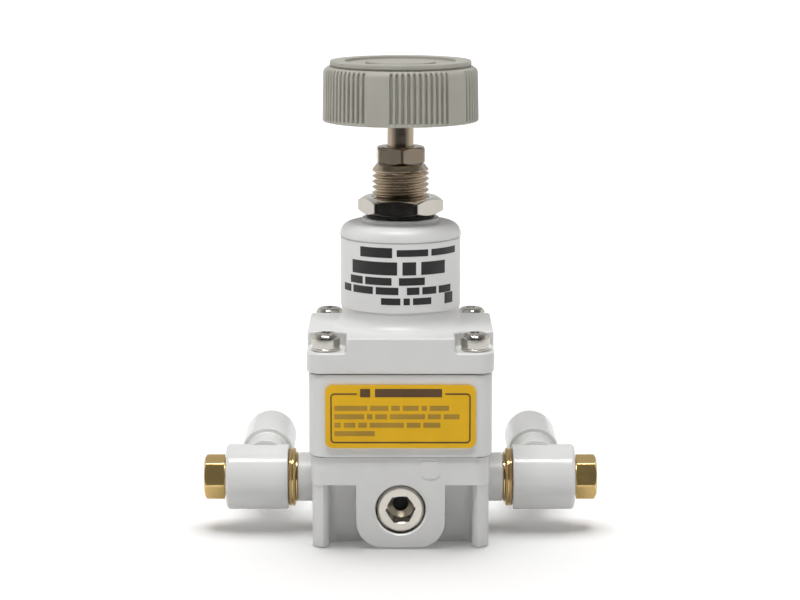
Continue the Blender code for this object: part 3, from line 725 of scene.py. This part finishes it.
def make_front_plate():
    width, height = PLATE_RIGHT - PLATE_LEFT, PLATE_TOP - PLATE_BOTTOM
    middle = ((PLATE_LEFT + PLATE_RIGHT) / 2, (PLATE_BOTTOM + PLATE_TOP) / 2)
    face = -PLATE_FACE
    plate = prism(
        "finished_plate", rectangle(width, height, 1.3, middle), -PLATE_BACK, face, UPRIGHT,
        rim=0.1,
    )
    show(plate, YELLOW, "front_plate")

    inset, line, radius = 0.95, 0.28, 0.8
    high_middle = (middle[0], middle[1] - 0.3)
    outer = rectangle(width - 2 * inset, height - 2 * inset - 0.6, radius, high_middle)
    inner = rectangle(
        width - 2 * inset - 2 * line, height - 2 * inset - 0.6 - 2 * line, radius - line,
        high_middle,
    )
    border = prism("plate_border", outer, face - INK_HEIGHT, face + INK_HEIGHT, UPRIGHT)
    hole = prism("hole", inner, face - 1, face + 1, UPRIGHT)
    gap_low, gap_high = middle[0] - 8.2, middle[0] + 8.4
    top = high_middle[1] + height / 2 - inset - 0.3
    gap = prism(
        "gap", rectangle(gap_high - gap_low, 1.2, 0.1, ((gap_low + gap_high) / 2, top)), face - 1,
        face + 1, UPRIGHT,
    )
    cut(border, hole, gap)
    show(border, BROWN_INK, "front_plate", stands_for=False)

    heading_low, heading_high = top - 0.75, top + 0.85
    heading = word_boxes(gap_low + 0.6, heading_low, heading_high, (1.9, 12.6), 0.9)
    flat_bars("plate_heading", heading, BROWN_INK)
    left = PLATE_LEFT + 1.7
    lines = [
        (6.2, 3.4, 1.6, 3.0, 1.0, 3.6), (5.6, 1.0, 2.2, 6.6, 2.4, 3.0),
        (1.2, 2.2, 1.6, 6.4, 2.6, 3.2), (7.6,),
    ]
    boxes = []
    for row, words in enumerate(lines):
        low = top - 3.35 - 1.62 * row
        boxes += word_boxes(left, low, low + 0.95, words, 0.55)
    flat_bars("plate_bars", boxes, FADED_INK)


# --------------------------------------------------------------------------- fasteners


def make_cover_screws():
    seat = EAR_FLOOR + 0.1
    for number, (x, y) in enumerate(four_corners(SCREW_SPACING), 1):
        place = Matrix.Translation((x, y, 0))
        corners = [
            (0, 13.2), (1.2, 13.2, 0.2), (1.45, 13.6), (1.45, seat), (2.7, seat, 0.1),
            (2.7, seat + 0.35, 0.05), (2.62, seat + 0.42, 0.05), (2.68, seat + 0.5, 0.05),
            (2.7, seat + 2.35, 0.4), (2.15, SCREW_HEAD_TOP - 0.15, 0.9), (0, SCREW_HEAD_TOP),
        ]
        screw = turned(f"finished_cover_screw_{number}", corners, SMALL_ROUND, place)
        arm, reach = 0.36, 1.55
        star = []
        for quarter in range(4):
            turn = Matrix.Rotation(math.radians(90 * quarter), 2)
            for px, py in ((reach, -arm), (reach, arm), (arm + 0.25, arm + 0.25)):
                star.append(tuple(turn @ Vector((px, py))))
        turned_place = place @ Matrix.Rotation(math.radians(20 + 31 * number), 4, "Z")
        cut(screw, prism("recess", star, 39.4, SCREW_HEAD_TOP + 0.4, turned_place, taper=0.45))
        soften(screw, 0.05, 2)
        show(screw, STEEL, f"cover_screw_{number}")


def chamfered_hexagon(name, flats, turn, low, high, bore, place=None, ends=(True, True)):
    """A hexagon nut or head whose corners are rounded off by a 30 degree cone at its ends. A bore
    of 0 makes it solid."""
    small = flats / 2 * 0.955
    slope = math.tan(math.radians(30))
    blunt = flats / math.sqrt(3) - 0.08
    rim = 0.05

    def side_radius(angle):
        turned_angle = (angle - math.radians(turn) - math.pi / 6) % (math.pi / 3)
        from_flat = min(turned_angle, math.pi / 3 - turned_angle)
        return min(flats / 2 / math.cos(from_flat), blunt)

    def shape(angle, radius, station):
        if radius < small + rim / 2:
            return radius, station
        wall = side_radius(angle)
        drop = (wall - small) * slope
        if station < (low + high) / 2:
            return wall, low + (drop if ends[0] else 0.0)
        return wall, high - (drop if ends[1] else 0.0)

    angles = []
    for facet in range(6):
        for step in (0.0, 0.8, 1.6, 4, 8, 13, 18, 24, 30, 36, 42, 47, 52, 56, 58.4, 59.2):
            angles.append(math.radians(turn + 60 * facet + step))
    angles.append(math.radians(turn + 360))
    corners = [
        (bore, low), (small, low), (2 * small, low), (2 * small, high), (small, high), (bore, high)
    ]
    if bore > 0:
        ease = 0.25
        corners[0] = (bore + ease, low)
        corners[-1] = (bore + ease, high)
        corners += [(bore, high - ease), (bore, low + ease)]
    return turned(name, corners, 0, place, angles, shape)


def make_nuts():
    low = PANEL_NUT_BOTTOM - NUT_DROP
    panel = chamfered_hexagon(
        "finished_panel_nut", PANEL_NUT_FLATS, PANEL_NUT_TURN, low, PANEL_NUT_TOP,
        THREAD_RADIUS + 0.08,
    )
    show(panel, BRIGHT_NICKEL, "panel_nut")
    lock = chamfered_hexagon(
        "finished_lock_nut", LOCK_NUT_FLATS, LOCK_NUT_TURN, LOCK_NUT_BOTTOM, LOCK_NUT_TOP,
        STEM_BORE,
    )
    show(lock, WARM_NICKEL, "stem_lock_nut")
    high = GASKET_TOP - NUT_DROP
    gasket = [
        (5.6, GASKET_BOTTOM), (GASKET_RADIUS, GASKET_BOTTOM, 0.2), (GASKET_RADIUS, high, 0.2),
        (5.6, high),
    ]
    show(turned("finished_gasket", gasket), RUBBER, "nut_gasket")


def make_bushing():
    """The threaded neck, with a true right-hand helix that runs out into a cone at the top."""
    low = BOSS_TOP + 0.4
    high = BUSHING_TOP - 0.05
    # Points over one pitch of the thread.
    per_turn = 14
    first = low - 0.5
    rows = math.ceil((high - first) / THREAD_PITCH + 1) * per_turn
    crest, root, flank = 0.14, 0.14, 0.5
    plain_end, run_out = 1.0, 0.5

    def thread_radius(phase):
        phase %= 1.0
        distance = min(phase, 1 - phase) * 2
        share = min(1.0, max(0.0, (distance - crest) / (1 - crest - root)))
        ease = share * share * (3 - 2 * share)
        return THREAD_RADIUS - (THREAD_RADIUS - THREAD_ROOT) * (share * flank + ease * (1 - flank))

    bm = bmesh.new()
    columns = []
    for angle in even_angles(ROUND):
        column = [
            (STEM_BORE, 56.7), (7.3, 56.7), (7.3, 58.3), (THREAD_RADIUS, 58.3),
            (THREAD_RADIUS, low),
        ]
        for row in range(rows + 1):
            along_helix = row / per_turn - 1 + angle / (2 * math.pi)
            station = first + THREAD_PITCH * along_helix
            if station <= low or station >= high:
                radius = THREAD_ROOT if station <= low else THREAD_ROOT - 0.25
                station = min(max(station, low), high)
            else:
                cone = THREAD_ROOT - 0.12 + (high - station) * 0.75
                share = min(1.0, max(0.0, (high - plain_end - station) / run_out))
                cut_depth = (THREAD_RADIUS - thread_radius(row / per_turn)) * share
                radius = min(THREAD_RADIUS, cone) - cut_depth
            column.append((radius, station))
        column += [(STEM_BORE + 0.3, high), (STEM_BORE, high - 0.3), (STEM_BORE, 56.7)]
        columns.append(add_column(bm, angle, column))
    bridge(bm, columns)
    bushing = add_object("finished_bushing", bm)
    show(bushing, WARM_NICKEL, "threaded_bushing", sharp=math.radians(50))


def make_stem():
    corners = [
        (0, STEM_BOTTOM), (1.4, STEM_BOTTOM, 0.2), (1.8, STEM_BOTTOM + 0.4), (STEM_RADIUS, 54.1),
        (STEM_RADIUS, STEM_TOP, 0.2), (1.25, STEM_TOP), (1.25, 81.6), (0, 81.6),
    ]
    show(turned("finished_stem", corners, SMALL_ROUND), WARM_NICKEL, "adjusting_screw")


# --------------------------------------------------------------------------- knob


def knob_angles():
    """Angles of the knob's columns, fine across each groove, and the share of the groove's depth
    at each."""
    profile = [
        (-0.30, 0.0), (-0.255, 0.12), (-0.225, 0.5), (-0.2, 0.9), (-0.15, 1.0), (0.15, 1.0),
        (0.2, 0.9), (0.225, 0.5), (0.255, 0.12), (0.30, 0.0),
    ]
    angles, shares = [], []
    starts = [start for start, _ in GROOVE_GROUPS[1:]] + [GROOVE_GROUPS[0][0] + 360]
    for (start, count), following in zip(GROOVE_GROUPS, starts):
        for groove in range(count):
            middle = start + GROOVE_PITCH * groove
            for offset, share in profile:
                angles.append(math.radians(middle + offset * GROOVE_PITCH - 90))
                shares.append(share)
        land_start = start + GROOVE_PITCH * (count - 0.6)
        land = following - GROOVE_PITCH * 0.4 - land_start
        for step in range(5):
            angles.append(math.radians(land_start + land * step / 4 - 90))
            shares.append(0.0)
    angles.append(angles[0] + 2 * math.pi)
    shares.append(shares[0])
    return angles, shares


def make_knob():
    angles, shares = knob_angles()
    share_at = dict(zip(angles, shares))
    groove_low, groove_high = KNOB_BOTTOM + 0.65, 89.5
    wall_inside = 13.65

    def shape(angle, radius, station):
        if radius < wall_inside or not groove_low - 0.35 <= station <= 90.0:
            return radius, station
        rise = min(1.0, max(0.0, (station - groove_low + 0.3) / 0.3))
        fall = min(1.0, max(0.0, (groove_high + 0.25 - station) / 0.35))
        depth = GROOVE_DEPTH * share_at[angle] * rise * fall
        return radius - depth, station

    top = KNOB_RADIUS - 0.2
    wall = [(KNOB_RADIUS, KNOB_BOTTOM + 0.3)]
    stations = (0.35, 0.42, 0.5, 0.58, 0.66, 1.2, 4.5, 8.0, 9.0, 9.2)
    for offset in stations:
        lean = offset / (90.0 - KNOB_BOTTOM)
        wall.append((KNOB_RADIUS + (top - KNOB_RADIUS) * lean, KNOB_BOTTOM + offset))
    shoulder = [
        (top - 0.02, 89.1), (top - 0.07, 89.3), (top - 0.17, 89.5), (top - 0.3, 89.65),
        (top - 0.5, 89.8), (top - 0.75, 89.92), (13.9, 90.05),
    ]
    corners = [
        (5.0, KNOB_BOTTOM + 1.0, 0.2), (5.0, 87.6, 0.6), (13.2, 87.6, 0.8),
        (13.2, KNOB_BOTTOM, 0.2), (KNOB_RADIUS, KNOB_BOTTOM, 0.25), *wall, *shoulder,
        (13.3, 90.03), (13.3, 90.3), (13.53, 90.42, 0.06), (13.5, KNOB_TOP, 0.22),
        (10.67, KNOB_TOP, 0.12), (10.6, 90.62, 0.1), (6.78, 90.62, 0.05), (6.75, 89.8),
        (3.2, 89.8), (3.2, 88.0), (1.3, 88.0), (1.3, 86.1), (STEM_BORE, 86.1),
        (STEM_BORE, KNOB_BOTTOM + 1.0, 0.2),
    ]
    knob = turned("finished_knob", corners, 0, None, angles, shape)
    show(knob, GRIP, "knob", sharp=math.radians(40))
    cap = [
        (0, 89.95), (6.5, 89.95), (6.62, 90.1), (6.66, CAP_TOP, 0.1), (6.3, CAP_TOP, 0.3),
        (6.1, CAP_TOP - 0.05), (0, CAP_TOP - 0.05),
    ]
    show(turned("finished_knob_cap", cap, LARGE_ROUND), GRIP, "knob_cap")


# --------------------------------------------------------------------------- ports and fittings


def make_port_plug(node, facing):
    body_radius = 4.5
    place = along((0, facing, 0), (0, 0, PORT_HEIGHT))
    corners = [
        (0, 9.6), (3.9, 9.6), (body_radius, 10.2), (body_radius, PLUG_FACE - 0.5, 0.08),
        (body_radius - 0.45, PLUG_FACE, 0.08), (0, PLUG_FACE),
    ]
    plug = turned("finished_" + node, corners, ROUND, place)
    floor = PLUG_FACE - 4.0
    socket = prism("socket", hexagon(SOCKET_FLATS, SOCKET_TURN, 0.12), floor, PLUG_FACE + 1, place)
    mouth = SOCKET_FLATS / 2 + 0.02
    lead_in = [
        (0, floor), (mouth - 0.06, floor), (mouth - 0.04, PLUG_FACE - 0.15),
        (mouth + 0.11, PLUG_FACE), (mouth + 0.11, PLUG_FACE + 1), (0, PLUG_FACE + 1),
    ]
    drill = [(0, 10.6), (1.5, 10.6), (1.5, floor - 0.9), (2.5, floor + 0.01), (0, floor + 0.01)]
    cut(
        plug, socket, turned("lead_in", lead_in, ROUND, place),
        turned("drill", drill, ROUND, place),
    )
    show(plug, SATIN_NICKEL, node)
    # A black sleeve and disc inside the drilled hole: painted shade that makes the deep hole read
    # dark.
    mouth = floor - 1.1
    shade_liner = [(0, 10.62), (1.49, 10.62), (1.49, mouth), (1.4, mouth), (1.4, 10.7), (0, 10.7)]
    show(turned("hole_shade_lining_" + node, shade_liner, ROUND, place), RUBBER, node, stands_for=False)


def make_bottom_cap():
    cap = [
        (0, 0), (6.4, 0, 0.3), (6.4, 0.9, 0.1), (5.4, 0.9, 0.1), (5.4, 2.1, 0.1), (6.4, 2.1, 0.1),
        (6.4, 3.0, 0.15), (2.0, 3.0), (2.0, 5.5, 0.2), (1.25, 5.5), (1.25, 1.5), (0, 1.5),
    ]
    piece = turned("finished_bottom_cap", cap)
    cut(piece, prism("slot", rectangle(9.0, 1.4, 0.5), -1, 0.8))
    show(piece, BRASS, "bottom_cap")


def make_banjo_bolt(side, hand):
    place = fitting_axis(side)
    collar = BANJO_OUTER + 0.15
    head_start = collar + 0.3
    corners = [
        (0, 31.0), (1.4, 31.0), (1.4, 13.8), (2.7, 13.8), (2.95, 14.1), (2.95, collar),
        (3.7, collar, 0.1), (3.7, head_start, 0.1), (3.0, head_start + 0.2), (0, head_start + 0.2),
    ]
    bolt = turned("finished_banjo_bolt_" + hand, corners, SMALL_ROUND, place)
    middle = side * (BANJO_INNER + BANJO_OUTER) / 2
    centre = Vector((middle, 0, FITTING_HEIGHT))
    holes = [
        rod("hole", 0.9, centre - reach, centre + reach, SMALL_ROUND)
        for reach in (Vector((0, 4, 0)), Vector((0, 0, 4)))
    ]
    cut(bolt, *holes)
    show(bolt, BRASS, "banjo_bolt_" + hand)
    head = chamfered_hexagon(
        "bolt_head_" + hand, BOLT_FLATS, -side * BOLT_TURN, head_start - 0.05, BOLT_END, 0.0, place,
        ends=(False, True),
    )
    show(head, BRASS, "banjo_bolt_" + hand, stands_for=False)


def make_rings(side, hand):
    place = fitting_axis(side)
    base = [
        (RING_BORE, RING_INNER), (5.5, RING_INNER, 0.2), (5.75, RING_INNER + 0.5, 0.2),
        (5.55, RING_INNER + 0.78, 0.08), (5.75, RING_INNER + 1.0, 0.1), (5.6, RING_OUTER, 0.15),
        (RING_BORE, RING_OUTER),
    ]
    ring = turned("finished_base_ring_" + hand, base, ROUND, place)
    show(ring, RING_BRASS, "base_ring_" + hand)
    washer = [
        (RING_BORE, WASHER_INNER), (4.9, WASHER_INNER, 0.1), (4.9, WASHER_OUTER, 0.1),
        (RING_BORE, WASHER_OUTER),
    ]
    piece = turned("finished_washer_" + hand, washer, ROUND, place)
    show(piece, RING_BRASS, "thread_washer_" + hand)


def make_elbow(side, hand):
    place = fitting_axis(side)
    barrel = [
        (0, BANJO_INNER), (BANJO_RADIUS, BANJO_INNER, 0.3),
        (BANJO_RADIUS, BANJO_OUTER, 0.8), (0, BANJO_OUTER),
    ]
    elbow = turned("finished_elbow_" + hand, barrel, LARGE_ROUND, place)
    branch = [
        (0, -0.1), (NECK_RADIUS, -0.1, 0.2), (NECK_RADIUS - 0.2, SLEEVE_START, 0.3),
        (SLEEVE_RADIUS, SLEEVE_START, 0.35), (SLEEVE_RADIUS, SLEEVE_END, 0.6), (0, SLEEVE_END),
    ]
    tube_axis = along((0, 1, 0), (side * TUBE_X, 0, TUBE_HEIGHT))
    join(elbow, turned("branch", branch, ROUND, tube_axis))
    bolt_bore = [
        (0, 20), (BOLT_BORE, 20), (BOLT_BORE, 23.1), (4.0, 23.1), (4.0, 24.1), (BOLT_BORE, 24.1),
        (BOLT_BORE, 25.7), (4.3, 25.7), (4.3, 30.1), (BOLT_BORE, 30.1), (BOLT_BORE, 31.7),
        (4.0, 31.7), (4.0, 32.7), (BOLT_BORE, 32.7), (BOLT_BORE, 33.4), (3.9, 33.4), (3.9, 36),
        (0, 36),
    ]
    tube_way = [
        (0, 0.6), (1.8, 0.6), (1.8, 8.6), (TUBE_BORE, 8.6), (TUBE_BORE, 12.4), (4.15, 12.4),
        (4.15, SLEEVE_END - 0.3), (4.45, SLEEVE_END + 0.05), (4.45, 26), (0, 26),
    ]
    cut(
        elbow, turned("bolt_bore", bolt_bore, ROUND, place),
        turned("tube_way", tube_way, ROUND, tube_axis),
    )
    show(elbow, MOULDED, "elbow_" + hand)
    collet = [
        (TUBE_BORE, 17.0), (3.6, 17.0), (3.9, 17.6), (3.9, 25.6, 0.1), (4.5, 25.6, 0.15),
        (4.6, COLLET_END, 0.35), (TUBE_BORE + 0.1, COLLET_END, 0.5), (TUBE_BORE, COLLET_END - 1.0),
    ]
    piece = turned("finished_collet_" + hand, collet, ROUND, tube_axis)
    slits = []
    for quarter in range(2):
        turn = Matrix.Rotation(math.radians(45 + 90 * quarter), 4, "Z")
        slits.append(prism("slit", rectangle(0.5, 12, 0.1), 16, 23.5, tube_axis @ turn))
    cut(piece, *slits)
    show(piece, RELEASE, "release_collet_" + hand)


# --------------------------------------------------------------------------- inner pieces


def make_coil_spring(node, lift=0.0):
    """A coil spring copied from its CAD node and fastened to no body, so it stays where it stands.
    lift raises the lower end, which leaves room where the plate below it moves too."""
    spring = new_object("finished_" + node, frame["nodes"][node].data.copy())
    spring.data.materials.clear()
    spring.data.materials.append(WIRE)
    spring.data.shade_smooth()
    low, high = span(node, 2)
    shorter = Matrix.Scale(1 - lift / (high - low), 4, (0, 0, 1))
    top = Matrix.Translation((0, 0, high * MM))
    spring.data.transform(top @ shorter @ top.inverted())
    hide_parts(node)
    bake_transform(spring)


def make_diaphragm(node, moving, centre, rim):
    """A rubber diaphragm in two rings: the centre moves with the plates that clamp it and the rim
    stays in the housing. Their edges slide past each other."""
    show(turned("finished_rim_of_" + node, rim, ROUND), RUBBER, node)
    piece = turned("finished_centre_of_" + node, centre, ROUND)
    show(piece, RUBBER, node, stands_for=False)
    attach(piece, moving)


def make_flexible_pieces():
    make_coil_spring("range_spring", lift=0.17)
    make_coil_spring("valve_spring")

    thickness = 0.45
    rim_radius = span("main_diaphragm", 0)[1]
    low, top = span("main_diaphragm", 2)
    flat = low + thickness
    centre = [
        (3.2, low, 0), (9.15, low, 0.1), (9.15, top - 0.1, 0.1), (8.75, top - 0.1, 0.1),
        (8.75, flat, 0.1), (3.2, flat, 0),
    ]
    rim = [
        (9.65, low, 0), (9.65, top - thickness, 0.4), (10.9, top - thickness, 0.4),
        (10.9, low, 0.1), (rim_radius, low, 0), (rim_radius, flat, 0), (11.35, flat, 0.1),
        (11.35, top, 0.8), (9.2, top, 0.8), (9.2, low, 0),
    ]
    make_diaphragm("main_diaphragm", "diaphragm_stack", centre, rim)

    low, top = span("pilot_diaphragm", 2)
    centre = [(1.9, low, 0), (7.5, low, 0), (7.5, top, 0), (1.9, top, 0)]
    rim = [(7.52, low, 0), (rim_radius, low, 0), (rim_radius, top, 0), (7.52, top, 0)]
    make_diaphragm("pilot_diaphragm", "pilot", centre, rim)


def paint_inner_nodes():
    """CAD nodes that stay as they are get the finish of their material slot."""
    for name, node in frame["nodes"].items():
        if node.hide_render:
            continue
        for slot in node.material_slots:
            slot.material = SLOT_FINISH[SLOT_OF[name]]


# --------------------------------------------------------------------------- studio


def studio_white():
    """White floor paint that starts to glow away from the object, so that the floor stays white
    as far as it goes."""
    material, tree, shader = new_material("studio_white")
    make = node_maker(tree)
    place = make("ShaderNodeTexCoord").outputs["Object"]
    distance = tree.nodes.new("ShaderNodeVectorMath")
    distance.operation = "LENGTH"
    tree.links.new(place, distance.inputs[0])
    glow = make(
        "ShaderNodeMapRange", Value=distance.outputs["Value"], From_Min=0.03, From_Max=0.5,
        To_Min=0.09, To_Max=0.18,
    )
    set_inputs(
        tree, shader, Base_Color=(0.9, 0.9, 0.9, 1.0), Roughness=0.9, Specular_IOR_Level=0.0,
        Emission_Color=(1.0, 1.0, 1.0, 1.0), Emission_Strength=glow.outputs["Result"],
    )
    return material


def make_stage():
    bpy.ops.mesh.primitive_plane_add(size=8.0)
    floor = bpy.context.object
    floor.name = "studio_floor"
    floor.location = (0, 0, -FLOOR_GAP * MM)
    floor.data.materials.append(studio_white())
    add_flag()


def add_flag():
    """A curved screen seen only in reflections, dark in front of the object and brighter towards
    its sides and back, so that polished metal shows a dark front between lighter sides."""
    bm = bmesh.new()
    edge = [(FLAG_RADIUS, FLAG_BOTTOM), (FLAG_RADIUS, FLAG_TOP)]
    angles = [math.radians(-90 + 140 * (step / 20 - 1)) for step in range(41)]
    bridge(bm, [add_column(bm, angle, edge) for angle in angles])
    flag = add_object("dark_flag", bm)

    material, tree, shader = new_material("flag_glow")
    make = node_maker(tree)
    parts = make("ShaderNodeSeparateXYZ", Vector=make("ShaderNodeTexCoord").outputs["Object"])
    glow = make(
        "ShaderNodeMapRange", Value=parts.outputs["Y"], From_Min=-0.85 * FLAG_RADIUS * MM,
        From_Max=0.1 * FLAG_RADIUS * MM, To_Min=0.015, To_Max=0.85,
    )
    set_inputs(
        tree, shader, Base_Color=(0.0, 0.0, 0.0, 1.0), Roughness=1.0, Specular_IOR_Level=0.0,
        Emission_Color=(1.0, 0.96, 0.90, 1.0), Emission_Strength=glow.outputs["Result"],
    )
    flag.data.materials.append(material)
    flag.visible_camera = False
    flag.visible_shadow = False
    flag.visible_diffuse = False


def make_world():
    """A white room that is dark on the side that the front faces, as a studio with a dark end."""
    world = bpy.data.worlds.new("studio")
    bpy.context.scene.world = world
    world.use_nodes = True
    tree = world.node_tree
    tree.nodes.clear()
    make = node_maker(tree)
    direction = make("ShaderNodeTexCoord").outputs["Generated"]
    parts = make("ShaderNodeSeparateXYZ", Vector=direction)
    depth = make(
        "ShaderNodeMapRange", Value=parts.outputs["Y"], From_Min=-0.85, From_Max=0.5,
        To_Min=0.03, To_Max=0.70,
    )
    depth.interpolation_type = "SMOOTHSTEP"
    height = make(
        "ShaderNodeMapRange", Value=parts.outputs["Z"], From_Min=0.2, From_Max=0.9,
        To_Min=0.9, To_Max=0.5,
    )
    across = make(
        "ShaderNodeMapRange", Value=parts.outputs["X"], From_Min=-1.0, From_Max=1.0,
        To_Min=1.25, To_Max=0.7,
    )
    strength = depth.outputs["Result"]
    for factor in (height, across):
        product = make("ShaderNodeMath")
        product.operation = "MULTIPLY"
        tree.links.new(strength, product.inputs[0])
        tree.links.new(factor.outputs["Result"], product.inputs[1])
        strength = product.outputs[0]
    room = make("ShaderNodeBackground", Color=(1.0, 0.99, 0.975, 1.0), Strength=strength)
    white = make("ShaderNodeBackground", Color=(1.0, 1.0, 1.0, 1.0), Strength=1.0)
    seen = make("ShaderNodeLightPath").outputs["Is Camera Ray"]
    mix = tree.nodes.new("ShaderNodeMixShader")
    tree.links.new(seen, mix.inputs[0])
    tree.links.new(room.outputs[0], mix.inputs[1])
    tree.links.new(white.outputs[0], mix.inputs[2])
    output = tree.nodes.new("ShaderNodeOutputWorld")
    tree.links.new(mix.outputs[0], output.inputs["Surface"])


def area_light(name, place, aim, size, power):
    light = bpy.data.lights.new(name, "AREA")
    light.shape = "RECTANGLE"
    light.size, light.size_y = size[0] * MM, size[1] * MM
    light.energy = power
    obj = new_object(name, light)
    obj.location = Vector(place) * MM
    obj.rotation_euler = (Vector(place) - Vector(aim)).to_track_quat("Z", "Y").to_euler()
    obj.visible_camera = False
    return obj


def lit_only(light, state):
    """Makes the light leave out the floor, or light nothing but the floor."""
    group = bpy.data.collections.new(light.name + "_group")
    group.objects.link(bpy.data.objects["studio_floor"])
    group.collection_objects[0].light_linking.link_state = state
    light.light_linking.receiver_collection = group


def make_lights():
    """A narrow key high in front lights the object and a soft sun overhead lights the floor."""
    lit_only(area_light("key", KEY_PLACE, KEY_AIM, KEY_SIZE, KEY_POWER), "EXCLUDE")
    sun = bpy.data.lights.new("floor_light", "SUN")
    sun.energy = SUN_POWER
    sun.angle = SUN_WIDTH
    obj = new_object("floor_light", sun)
    obj.rotation_euler = (SUN_TILT, 0, 0)
    lit_only(obj, "INCLUDE")


def make_camera():
    camera = bpy.data.cameras.new("camera")
    camera.lens = CAMERA_LENS
    camera.clip_start = 0.01
    camera.clip_end = 20.0
    obj = new_object("camera", camera)
    obj.location = Vector(CAMERA_PLACE) * MM
    obj.rotation_euler = (math.pi / 2 - CAMERA_TILT, 0, 0)
    bpy.context.scene.camera = obj
    bpy.context.scene.view_settings.view_transform = "Standard"


def main():
    make_camera()
    make_world()
    make_stage()
    make_lights()
    make_lower_body()
    make_middle_body()
    make_bonnet()
    make_label()
    make_front_plate()
    make_cover_screws()
    make_nuts()
    make_bushing()
    make_stem()
    make_knob()
    make_port_plug("front_port_plug", -1)
    make_port_plug("rear_port_plug", 1)
    make_bottom_cap()
    for side, hand in ((-1, "left"), (1, "right")):
        make_banjo_bolt(side, hand)
        make_rings(side, hand)
        make_elbow(side, hand)
    make_flexible_pieces()
    paint_inner_nodes()


main()
